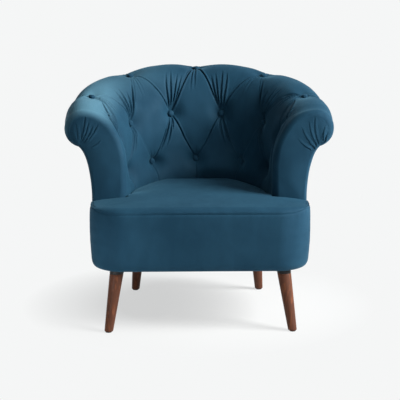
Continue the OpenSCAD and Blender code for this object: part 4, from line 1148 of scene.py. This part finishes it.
class SeatCover(bpy.types.Operator):
    """Builds the crowned top of the seat, down to its seam"""

    bl_idname = "armchair.seat_cover"
    bl_label = "Seat cover"
    bl_options = {"REGISTER", "UNDO"}

    # The rings of the mesh, which close round a point in front of the arms
    ring_count = 70
    middle = 0.030
    # The first rings turn in below the edge: how far in, and how high from the seam
    tucked = ((0.006, -0.012), (0.0016, -0.0005), (0.0004, 0.003))
    # Between the arms the edge is rounded far less. The rounding changes over edge_fade, from edge_start
    # in front of the arm fronts.
    arm_edge = 0.005
    edge_start = 0.034
    edge_fade = 0.032
    # Where along the seat the crown is highest, and its reach from there
    crown_y = -0.110
    crown_reach = 0.262
    # The rear's rise, which starts in front of the arm fronts, and the reach of the sinking beside the arms
    rise_start = 0.10
    rise_length = 0.35
    sink_reach = 0.06
    # How far the top has settled below the edge's full rise
    settled = 0.0015

    def execute(self, context):
        builder = Builder(context.scene)
        seat, wall = builder.seat, builder.wall
        outline, corners = seat_outline(builder)
        tucked = np.array(self.tucked)
        under = len(tucked)
        centre = np.array([0.0, wall.arm_front_y - self.middle])
        inner = 1 - np.linspace(0, 1, self.ring_count)[1:] ** 1.5 * 0.9995
        shares = np.concatenate([[1] * under, inner])
        rings = centre + (outline - centre) * shares[:, None, None]
        far = distance_to_outline(rings, corners)
        x, y = rings[..., 0], rings[..., 1]
        back = smooth((y - wall.arm_front_y + self.edge_start) / self.edge_fade)
        edge = mix(seat.edge_round, self.arm_edge, back)
        rise = np.sqrt(np.clip(1 - (1 - np.clip(far / edge, 0, 1)) ** 2, 0, 1))
        across = np.clip(1 - (x / seat.half_width) ** 4, 0, 1)
        crown = across * np.clip(1 - ((y - self.crown_y) / self.crown_reach) ** 2, 0, 1)
        seam = seam_height(builder, x, y)
        z = mix(seam, seat.seam + seat.edge_rise - self.settled, rise) + seat.crown * crown
        z += seat.rear_rise * smooth((y - wall.arm_front_y + self.rise_start) / self.rise_length) * rise
        z -= corner_sink(builder, x, y) * np.exp(-far / self.sink_reach)
        z[:under] = seam[:under] + tucked[:, 1:]
        points = np.concatenate([rings, z[..., None]], -1)
        points[2:, :, 2] += ripples(points[2:], 0.0008, 21, 11.0) * rise[2:]
        inward = (centre - outline) / np.linalg.norm(centre - outline, axis=1, keepdims=True)
        points[:under, :, :2] += tucked[:, 0, None, None] * inward
        normals = loop_normals(points)
        wrong = normals[len(points) // 2, 0][2] <= 0
        faces, normals = turned_over(grid_faces(*points.shape[:2], closed=True), normals, wrong)
        piece = new_mesh("seat_top", points, faces, normals)
        builder.finish(piece, "velvet", "seat_cover", fill=0.8)
        return {"FINISHED"}


class BorderCover(bpy.types.Operator):
    """Builds the front border of the seat, round both corners and turned in below"""

    bl_idname = "armchair.border_cover"
    bl_label = "Border cover"
    bl_options = {"REGISTER", "UNDO"}

    # Length and corner radius of the two ends, which turn inwards in front of the arms, a gap from them
    ear_return = 0.035
    ear_bend = 0.006
    arm_gap = 0.0003
    # The section as (outwards, below the seam), and the rest of it as (outwards, above the hem)
    upper_section = (
        (-0.009, -0.004), (-0.004, 0.0), (-0.0006, 0.0012), (0.0016, 0.006), (0.0027, 0.018),
        (0.0034, 0.04), (0.0037, 0.075), (0.0028, 0.105), (0.0010, 0.130),
    )
    lower_section = (
        (-0.0008, 0.026), (-0.0022, 0.017), (-0.0050, 0.009), (-0.0090, 0.0035), (-0.0140, 0.0006),
        (-0.0200, 0.0), (-0.0270, 0.0),
    )

    def execute(self, context):
        builder = Builder(context.scene)
        seat = builder.seat
        at, plan, outward = self.plan(builder)
        drop = seat.seam - seat.hem
        section = np.array([*self.upper_section, *((out, drop - above) for out, above in self.lower_section)])
        spans = np.concatenate([[0], np.cumsum(np.linalg.norm(np.diff(section, axis=0), axis=1))])
        fine = steps(0, spans[-1], 0.004)
        out, down = np.interp(fine, spans, section[:, 0]), np.interp(fine, spans, section[:, 1])
        points = np.zeros((len(fine), len(at), 3))
        points[..., :2] = plan[None] + out[:, None, None] * outward[None]
        climb = seam_height(builder, plan[:, 0], plan[:, 1]) - seat.seam
        points[..., 2] = seat.seam - down[:, None] + climb * np.exp(-down[:, None] / 0.05)
        points[..., :2] += self.unevenness(seat, points, at, down)[..., None] * outward[None]
        normals = grid_normals(points)[0]
        wrong = normals[len(fine) // 3, len(at) // 2][1] > 0
        faces, normals = turned_over(grid_faces(len(fine), len(at)), normals, wrong)
        piece = new_mesh("seat_border", points, faces, normals)
        builder.finish(piece, "velvet", "border_cover", fill=0.9)
        return {"FINISHED"}

    def plan(self, builder):
        """Lengths along the border from its left end, with the point in plan and the way out at each."""
        seat, wall = builder.seat, builder.wall
        front, back = builder.wall_size.front_y, wall.arm_front_y - self.arm_gap
        half, c = seat.half_width, seat.corner
        ear, bend = self.ear_return, self.ear_bend
        arms = back - front - c
        ends = np.cumsum([ear, math.pi / 2 * bend, arms - bend, math.pi / 2 * c, half - c])
        total = 2 * ends[-1]
        at = steps(0, total, 0.003)
        plan, outward = [], []
        for run in at:
            mirrored = run > total / 2
            d = total - run if mirrored else run
            if d < ends[0]:
                point, normal = (-half + bend + ear - d, back), (0, -smooth((ear - d) / bend))
            elif d < ends[1]:
                turn = (d - ends[0]) / bend
                normal = (-math.sin(turn), math.cos(turn))
                point = (-half + bend + bend * normal[0], back - bend + bend * normal[1])
            elif d < ends[2]:
                point, normal = (-half, back - bend - d + ends[1]), (-1, 0)
            elif d < ends[3]:
                turn = (d - ends[2]) / c
                normal = (-math.cos(turn), -math.sin(turn))
                point = (-half + c + c * normal[0], front + c + c * normal[1])
            else:
                point, normal = (-half + c + d - ends[3], front), (0, -1)
            flip = -1 if mirrored else 1
            plan.append((flip * point[0], point[1]))
            outward.append((flip * normal[0], min(normal[1], 0)))
        return at, np.array(plan), np.array(outward)

    def unevenness(self, seat, points, at, down):
        """Slack everywhere, small puckers along the seam and faint lines where the corners are pulled."""
        down = down[:, None]
        slack = ripples(points, 0.0008, 33, 12.0)
        puckers = np.sin(at * 2 * math.pi / 0.021 + 1.3 * np.sin(at * 37.0)) * 0.0002
        near_seam = np.exp(-((down - 0.004) / 0.012) ** 2)
        arc, flat = math.pi / 2 * seat.corner, seat.half_width - seat.corner
        corner_pull = np.exp(-((np.abs(at - at[-1] / 2) - flat - arc / 2) / 0.05) ** 2)
        lines = np.sin(down * 2 * math.pi / 0.034 + 2.0) * 0.0006 * corner_pull
        return slack + puckers * near_seam + lines


class CoveredButtons(bpy.types.Operator):
    """Builds the covered buttons, drawn into the folds"""

    bl_idname = "armchair.buttons"
    bl_label = "Buttons"
    bl_options = {"REGISTER", "UNDO"}

    # The dome from its hidden edge to its top, as shares of the radius and of the height
    profile = (
        (0.86, -0.55), (0.96, -0.05), (1.0, 0.10), (0.99, 0.26), (0.93, 0.46),
        (0.82, 0.66), (0.66, 0.83), (0.46, 0.94), (0.24, 0.99), (0.02, 1.0),
    )
    around = 36
    # The small gathers round its edge: their number, and their height as a share of the radius
    gathers = 9
    gather_height = 0.018
    # Two points on a button's axis: its foot, and one farther out, above the bottom of the dimple
    axis_heights = (0.0003, 0.0103)

    def execute(self, context):
        builder = Builder(context.scene)
        buttoning = builder.buttoning
        for row, name in enumerate(("lower_buttons", "upper_buttons", "roll_buttons")):
            places = buttoning.upper if row == 1 else buttoning.lower
            vertices, faces = [], []
            for a in places:
                points, quads = self.dome(builder, a, row)
                faces.append(quads + sum(len(p) for p in vertices))
                vertices.append(points)
            piece = new_mesh(f"covered_{name}", np.concatenate(vertices), np.concatenate(faces))
            builder.finish(piece, "velvet_buttons", name, fill=1.0)
        return {"FINISHED"}

    def dome(self, builder, a, row):
        """Points and quads of one button, whose cover is gathered in small ripples round its edge."""
        wall, buttoning, size = builder.wall, builder.buttoning, builder.buttoning.size
        s = np.array([buttoning.station(a, row)])
        rz, normal = wall.section(s, buttoning.height_of(row))
        depth = float(buttoning.depth_at(row))
        foot, ahead = [wall.place(s, rz + normal * (depth - height))[0] for height in self.axis_heights]
        turn = Vector(ahead - foot).normalized().to_track_quat("Z", "Y").to_matrix()
        angles = np.linspace(0, 2 * math.pi, self.around, endpoint=False)
        rings = []
        for out, up in self.profile:
            ripple = 1 + self.gather_height * np.cos(self.gathers * angles + row + a) * (out ** 3)
            r = out * size.button_radius * ripple
            height = np.full(self.around, up * size.button_height)
            rings.append(np.stack([r * np.cos(angles), r * np.sin(angles), height], -1))
        points = np.stack(rings).reshape(-1, 3) @ np.array(turn).T + foot
        return points, grid_faces(len(self.profile), self.around, closed=True)


def lathe(name, centres, radii, around=64):
    """A turned piece through level rings, whose centres may wander."""
    angles = np.linspace(0, 2 * math.pi, around, endpoint=False)
    rings = [
        np.stack([c[0] + r * np.cos(angles), c[1] + r * np.sin(angles), np.full(around, c[2])], -1)
        for c, r in zip(centres, radii)
    ]
    points = np.stack(rings)
    return new_mesh(name, points, grid_faces(len(rings), around, closed=True))


def ring_of(node_name, top):
    """Centre and radius of a CAD node's highest or lowest ring."""
    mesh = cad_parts[node_name].data
    points = np.empty(len(mesh.vertices) * 3)
    mesh.vertices.foreach_get("co", points)
    points = points.reshape(-1, 3)
    level = points[:, 2].max() if top else points[:, 2].min()
    ring = points[np.abs(points[:, 2] - level) < 1e-4]
    low, high = ring.min(0), ring.max(0)
    return (low + high) / 2, (high - low)[0] / 2


class Legs(bpy.types.Operator):
    """Builds the four turned legs and their collars"""

    bl_idname = "armchair.legs"
    bl_label = "Legs"
    bl_options = {"REGISTER", "UNDO"}

    # Places along a leg, from its foot to its head, and the share of the radius turned off at each
    turning = (
        (0.0, 1.0), (0.0, 0.25), (0.004, 0.04), (0.012, 0.01), (0.03, 0.0), (0.25, 0.0),
        (0.5, 0.0), (0.75, 0.0), (0.97, 0.0), (0.993, 0.012), (1.0, 0.03),
    )
    # The smallest ring, in the middle of the foot
    pip = 0.0005

    def execute(self, context):
        builder = Builder(context.scene)
        ends = {name: (*ring_of(name, False), *ring_of(name, True)) for name in LEGS}
        along, off = np.array(self.turning).T
        for name, (foot, foot_r, head, head_r) in ends.items():
            centres = [mix(foot, head, t) for t in along]
            radii = mix(foot_r, head_r, along) * (1 - off)
            radii[0] = self.pip
            leg = lathe(f"turned_{name}", centres, radii)
            builder.finish(leg, "walnut", name)
        collars = [self.collar(name, foot, head, head_r) for name, (foot, _, head, head_r) in ends.items()]
        with context.temp_override(
            active_object=collars[0], selected_editable_objects=collars, object=collars[0],
        ):
            bpy.ops.object.join()
        collars[0].name = "collars"
        builder.finish(collars[0], "black_plastic", "leg_collars")
        return {"FINISHED"}

    def collar(self, name, foot, head, head_r):
        """A collar round the head of a leg, leaning as the leg does, its edges worn round."""
        (_, _, low), (_, _, high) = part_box("leg_collars")
        rise = high - low
        lean = (head - foot) / (head[2] - foot[2])
        heights = np.array([0.0, 0.0008, 0.0025, 0.5 * rise, rise - 0.001, rise])
        grow = np.array([-0.0012, -0.0003, 0.0003, 0.0003, 0.0003, -0.0005])
        centres = [np.array([*(head[:2] + lean[:2] * h), low + h]) for h in heights]
        return lathe(f"collar_of_{name}", centres, head_r + grow)


def worked_copy(node_name, spacing, unevenness, rounds):
    """The mesh of a soft CAD node cut finer, its edges worn round, and made a little uneven."""
    shape = bmesh.new()
    shape.from_mesh(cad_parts[node_name].data)
    bmesh.ops.remove_doubles(shape, verts=shape.verts, dist=1e-5)
    for _ in range(6):
        long_edges = [edge for edge in shape.edges if edge.calc_length() > spacing]
        if not long_edges:
            break
        bmesh.ops.subdivide_edges(shape, edges=long_edges, cuts=1)
        bmesh.ops.triangulate(shape, faces=[face for face in shape.faces if len(face.verts) > 3])
    for _ in range(rounds):
        bmesh.ops.smooth_vert(
            shape, verts=shape.verts, factor=0.5, use_axis_x=True, use_axis_y=True, use_axis_z=True,
        )
    shape.normal_update()
    points = np.array([vertex.co for vertex in shape.verts])
    normals = np.array([vertex.normal for vertex in shape.verts])
    points = points + normals * ripples(points, unevenness, len(node_name), 26.0)[:, None]
    faces = np.array([[vertex.index for vertex in face.verts] for face in shape.faces])
    shape.free()
    return points, faces


class SoftInside(bpy.types.Operator):
    """Builds the hidden soft layers of the wall and the seat"""

    bl_idname = "armchair.soft_inside"
    bl_label = "Hidden padding"
    bl_options = {"REGISTER", "UNDO"}

    # A kind of layer: what its pieces are called, its slot, the spacing of its mesh, its unevenness, its
    # rounds of smoothing and its fill. A stretched cloth isn't padded.
    foam = ("padding", "foam", 0.016, 0.0008, 2, 1.0)
    wadding = ("padding", "wadding", 0.020, 0.0006, 1, 0.7)
    hessian = ("stretched", "hessian", 0.014, 0.0007, 0, None)
    dust_cloth = ("stretched", "dust_cloth", 0.014, 0.0007, 0, None)
    layers = {
        "back_foam": foam, "left_arm_foam": foam, "right_arm_foam": foam, "seat_foam": foam,
        "border_foam": foam, "outer_wadding": wadding, "hessian_lining": hessian,
        "spring_cover": hessian, "dust_cover": dust_cloth,
    }

    def execute(self, context):
        builder = Builder(context.scene)
        for name, (prefix, slot, spacing, unevenness, rounds, fill) in self.layers.items():
            points, faces = worked_copy(name, spacing, unevenness, rounds)
            if name == "seat_foam":
                points = self.under_the_cover(builder, points)
            if name == "border_foam":
                points = self.in_front_of_the_arms(points)
            piece = new_mesh(f"{prefix}_{name}", points, faces)
            piece.data.set_sharp_from_angle(angle=math.radians(40))
            builder.finish(piece, slot, name, fill=fill)
        return {"FINISHED"}

    def under_the_cover(self, builder, points):
        """Draws the seat's foam in on all sides and down, so that the crowned cover lies over it."""
        low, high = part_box("seat_foam")
        middle = np.array([0.0, (low[1] + high[1]) / 2, low[2]])
        drawn = middle + (points - middle) * np.array([0.962, 0.960, 1.0])
        sink = corner_sink(builder, drawn[:, 0], drawn[:, 1]) + 0.017
        drawn[:, 2] -= sink * np.clip((drawn[:, 2] - low[2]) / 0.05, 0, 1)
        return drawn

    def in_front_of_the_arms(self, points, drawn=0.007, reach=0.03):
        """Draws the rear of the border's foam forwards, clear of the border's two ends."""
        points[:, 1] -= drawn * smooth((points[:, 1] - points[:, 1].max() + reach) / reach)
        return points


class FrameFinishes(bpy.types.Operator):
    """Gives the frame, springs and fittings their materials"""

    bl_idname = "armchair.frame_finishes"
    bl_label = "Frame finishes"
    bl_options = {"REGISTER", "UNDO"}

    def execute(self, context):
        materials = Builder(context.scene).materials
        slots = {name: "birch_ply" for name in PLYWOOD}
        slots.update({
            "leg_bolts": "zinc_steel", "leg_plates": "zinc_steel", "leg_plate_screws": "zinc_steel",
            "foot_glides": "black_plastic", "seat_springs": "spring_steel",
            "spring_clips": "zinc_steel", "outer_board": "hardboard", "button_twines": "twine",
            "button_washers": "black_plastic",
        })
        for name, slot in slots.items():
            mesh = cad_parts[name].data
            for index in range(max(1, len(mesh.materials))):
                if index < len(mesh.materials):
                    mesh.materials[index] = materials[slot]
                else:
                    mesh.materials.append(materials[slot])
        return {"FINISHED"}


def seen_directly(tree):
    """1 for rays from the camera, and for those that a mirror or glass sends on."""
    rays = node(tree, "ShaderNodeLightPath").outputs
    mirrored = maths(tree, "ADD", rays["Is Glossy Ray"], rays["Is Transmission Ray"])
    return maths(tree, "ADD", rays["Is Camera Ray"], mirrored, clamp=True)


class Stage(bpy.types.Operator):
    """Builds the floor, the lights, the world and the camera"""

    bl_idname = "armchair.stage"
    bl_label = "Stage"
    bl_options = {"REGISTER", "UNDO"}

    # The camera's height and distance, and the turns of its place and of its view, in degrees
    camera_height = 1.15
    camera_reach = 4.06
    camera_turn = 1.3
    camera_yaw = 0.08
    camera_pitch = 11.15
    # Its focal length and the picture's width in the photograph's pixels
    focal_share = 1246 / 400
    # The floor, and from where to where it turns into plain paper, as seen by the camera
    floor_reach = 9.0
    shadow_reach = (0.27, 0.59)
    paper_share = 0.66
    # The ambient light, away from its bright side and towards it
    ambient = (0.02, 0.14)
    ambient_side = (0.62, -0.28, 0.73)
    # The angle in degrees that the small lamp beside the left front corner spreads over
    corner_spread = 13

    def execute(self, context):
        scene = context.scene
        paper = scene.armchair_finish.paper
        self.floor(scene, paper)
        self.light("key", (3.2, -1.15, 2.5), (0.0, -0.05, 0.5), 2.2, 350.0, (1.0, 1.0, 0.99))
        corner = self.light("corner", (-1.3, -1.9, 0.2), (-0.31, -0.31, 0.27), 0.3, 0.17, (1.0, 1.0, 1.0))
        corner.data.spread = math.radians(self.corner_spread)
        self.light("fill", (1.2, -3.6, 1.0), (0.0, -0.05, 0.35), 1.6, 8.5, (0.95, 0.98, 1.0))
        self.world(scene, paper)
        self.camera(scene)
        scene.view_settings.view_transform = "Standard"
        return {"FINISHED"}

    def floor(self, scene, paper):
        """A round floor that turns into plain paper away from the object's shadow."""
        around = 96
        angles = np.linspace(0, 2 * math.pi, around, endpoint=False)
        radii = np.array([0.001, self.floor_reach])
        ring = np.stack([np.cos(angles), np.sin(angles), 0 * angles], -1)
        floor = new_mesh("floor", radii[:, None, None] * ring, grid_faces(2, around, closed=True))
        material, tree, shader = new_material("floor", Roughness=0.9, Specular_IOR_Level=0.1)
        shader.inputs["Base Color"].default_value = rgba(scene.armchair_finish.floor)
        place = node(tree, "ShaderNodeNewGeometry").outputs["Position"]
        away = node(tree, "ShaderNodeVectorMath", {0: place}, operation="LENGTH").outputs["Value"]
        share = ramp(tree, away, *self.shadow_reach, self.paper_share, 1.0)
        plain_paper = node(tree, "ShaderNodeEmission", {"Color": rgba(paper), "Strength": 1.0}).outputs[0]
        seen = maths(tree, "MULTIPLY", share, seen_directly(tree))
        both = node(tree, "ShaderNodeMixShader", {0: seen, 1: shader.outputs[0], 2: plain_paper}).outputs[0]
        tree.links.new(both, tree.nodes["Material Output"].inputs["Surface"])
        floor.data.materials.append(material)

    def light(self, name, place, target, size, power, tint):
        """A round lamp of some size in metres and power in watts, turned to a target."""
        lamp = bpy.data.lights.new(name, "AREA")
        lamp.shape = "DISK"
        lamp.size = size
        lamp.energy = power
        lamp.color = tint
        holder = bpy.data.objects.new(name, lamp)
        holder.location = place
        aim = Vector(target) - Vector(place)
        holder.rotation_euler = aim.to_track_quat("-Z", "Y").to_euler()
        bpy.context.scene.collection.objects.link(holder)
        return holder

    def world(self, scene, paper):
        """Plain ambient light, behind which the camera sees the same paper as on the floor."""
        world = scene.world or bpy.data.worlds.new("studio")
        scene.world = world
        world.use_nodes = True
        tree = world.node_tree
        background = tree.nodes["Background"]
        seen = mix_colours(tree, seen_directly(tree), (1.0, 1.0, 1.0, 1.0), rgba(paper))
        tree.links.new(seen, background.inputs["Color"])
        direction = node(tree, "ShaderNodeTexCoord").outputs["Generated"]
        values = {0: direction, 1: self.ambient_side}
        side = node(tree, "ShaderNodeVectorMath", values, operation="DOT_PRODUCT")
        around = ramp(tree, side.outputs["Value"], -0.7, 1.0, *self.ambient)
        strength = node(tree, "ShaderNodeMix", {0: seen_directly(tree), 2: around}, data_type="FLOAT")
        strength.inputs[3].default_value = 1.0
        tree.links.new(strength.outputs[0], background.inputs["Strength"])

    def camera(self, scene):
        """The camera of the photograph: far off, nearly straight in front and looking a little down."""
        data = bpy.data.cameras.new("camera")
        data.sensor_width = 36.0
        data.lens = 36.0 * self.focal_share
        holder = bpy.data.objects.new("camera", data)
        turn, reach = math.radians(self.camera_turn), self.camera_reach
        holder.location = (-reach * math.sin(turn), -reach * math.cos(turn), self.camera_height)
        heading = turn + math.radians(self.camera_yaw)
        holder.rotation_euler = (math.pi / 2 - math.radians(self.camera_pitch), 0.0, -heading)
        scene.collection.objects.link(holder)
        scene.camera = holder


class ArmchairPanel(bpy.types.Panel):
    """Lists the steps that build the armchair, with their sizes and colours"""

    bl_idname = "VIEW3D_PT_armchair"
    bl_label = "Armchair"
    bl_space_type = "VIEW_3D"
    bl_region_type = "UI"
    bl_category = "Armchair"

    def draw(self, context):
        for operator in OPERATORS:
            self.layout.operator(operator.bl_idname)
        for name in PROPERTIES:
            group = getattr(context.scene, name)
            box = self.layout.box()
            box.label(text=group.bl_rna.description)
            for key in group.bl_rna.properties.keys():
                if key not in ("rna_type", "name"):
                    box.prop(group, key)


OPERATORS = (
    InsideCovers, OutsideCover, SeatCover, BorderCover, CoveredButtons, Legs, SoftInside, FrameFinishes,
    Stage,
)
PROPERTIES = {
    "armchair_wall": ArmchairWall,
    "armchair_buttoning": ArmchairButtoning,
    "armchair_seat": ArmchairSeat,
    "armchair_finish": ArmchairFinish,
}


def register():
    """Makes the operators, the panel and the scene's properties known."""
    for made in (*PROPERTIES.values(), *OPERATORS, ArmchairPanel):
        bpy.utils.register_class(made)
    for name, group in PROPERTIES.items():
        setattr(bpy.types.Scene, name, bpy.props.PointerProperty(type=group))


def unregister():
    """Takes away all that register() made known."""
    for name in PROPERTIES:
        delattr(bpy.types.Scene, name)
    for made in reversed((*PROPERTIES.values(), *OPERATORS, ArmchairPanel)):
        bpy.utils.unregister_class(made)


def main():
    """Builds the armchair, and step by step."""
    register()
    bpy.ops.armchair.inside_covers()
    bpy.ops.armchair.outside_cover()
    bpy.ops.armchair.seat_cover()
    bpy.ops.armchair.border_cover()
    bpy.ops.armchair.buttons()
    bpy.ops.armchair.legs()
    bpy.ops.armchair.soft_inside()
    bpy.ops.armchair.frame_finishes()
    bpy.ops.armchair.stage()


if __name__ == "__main__":
    main()
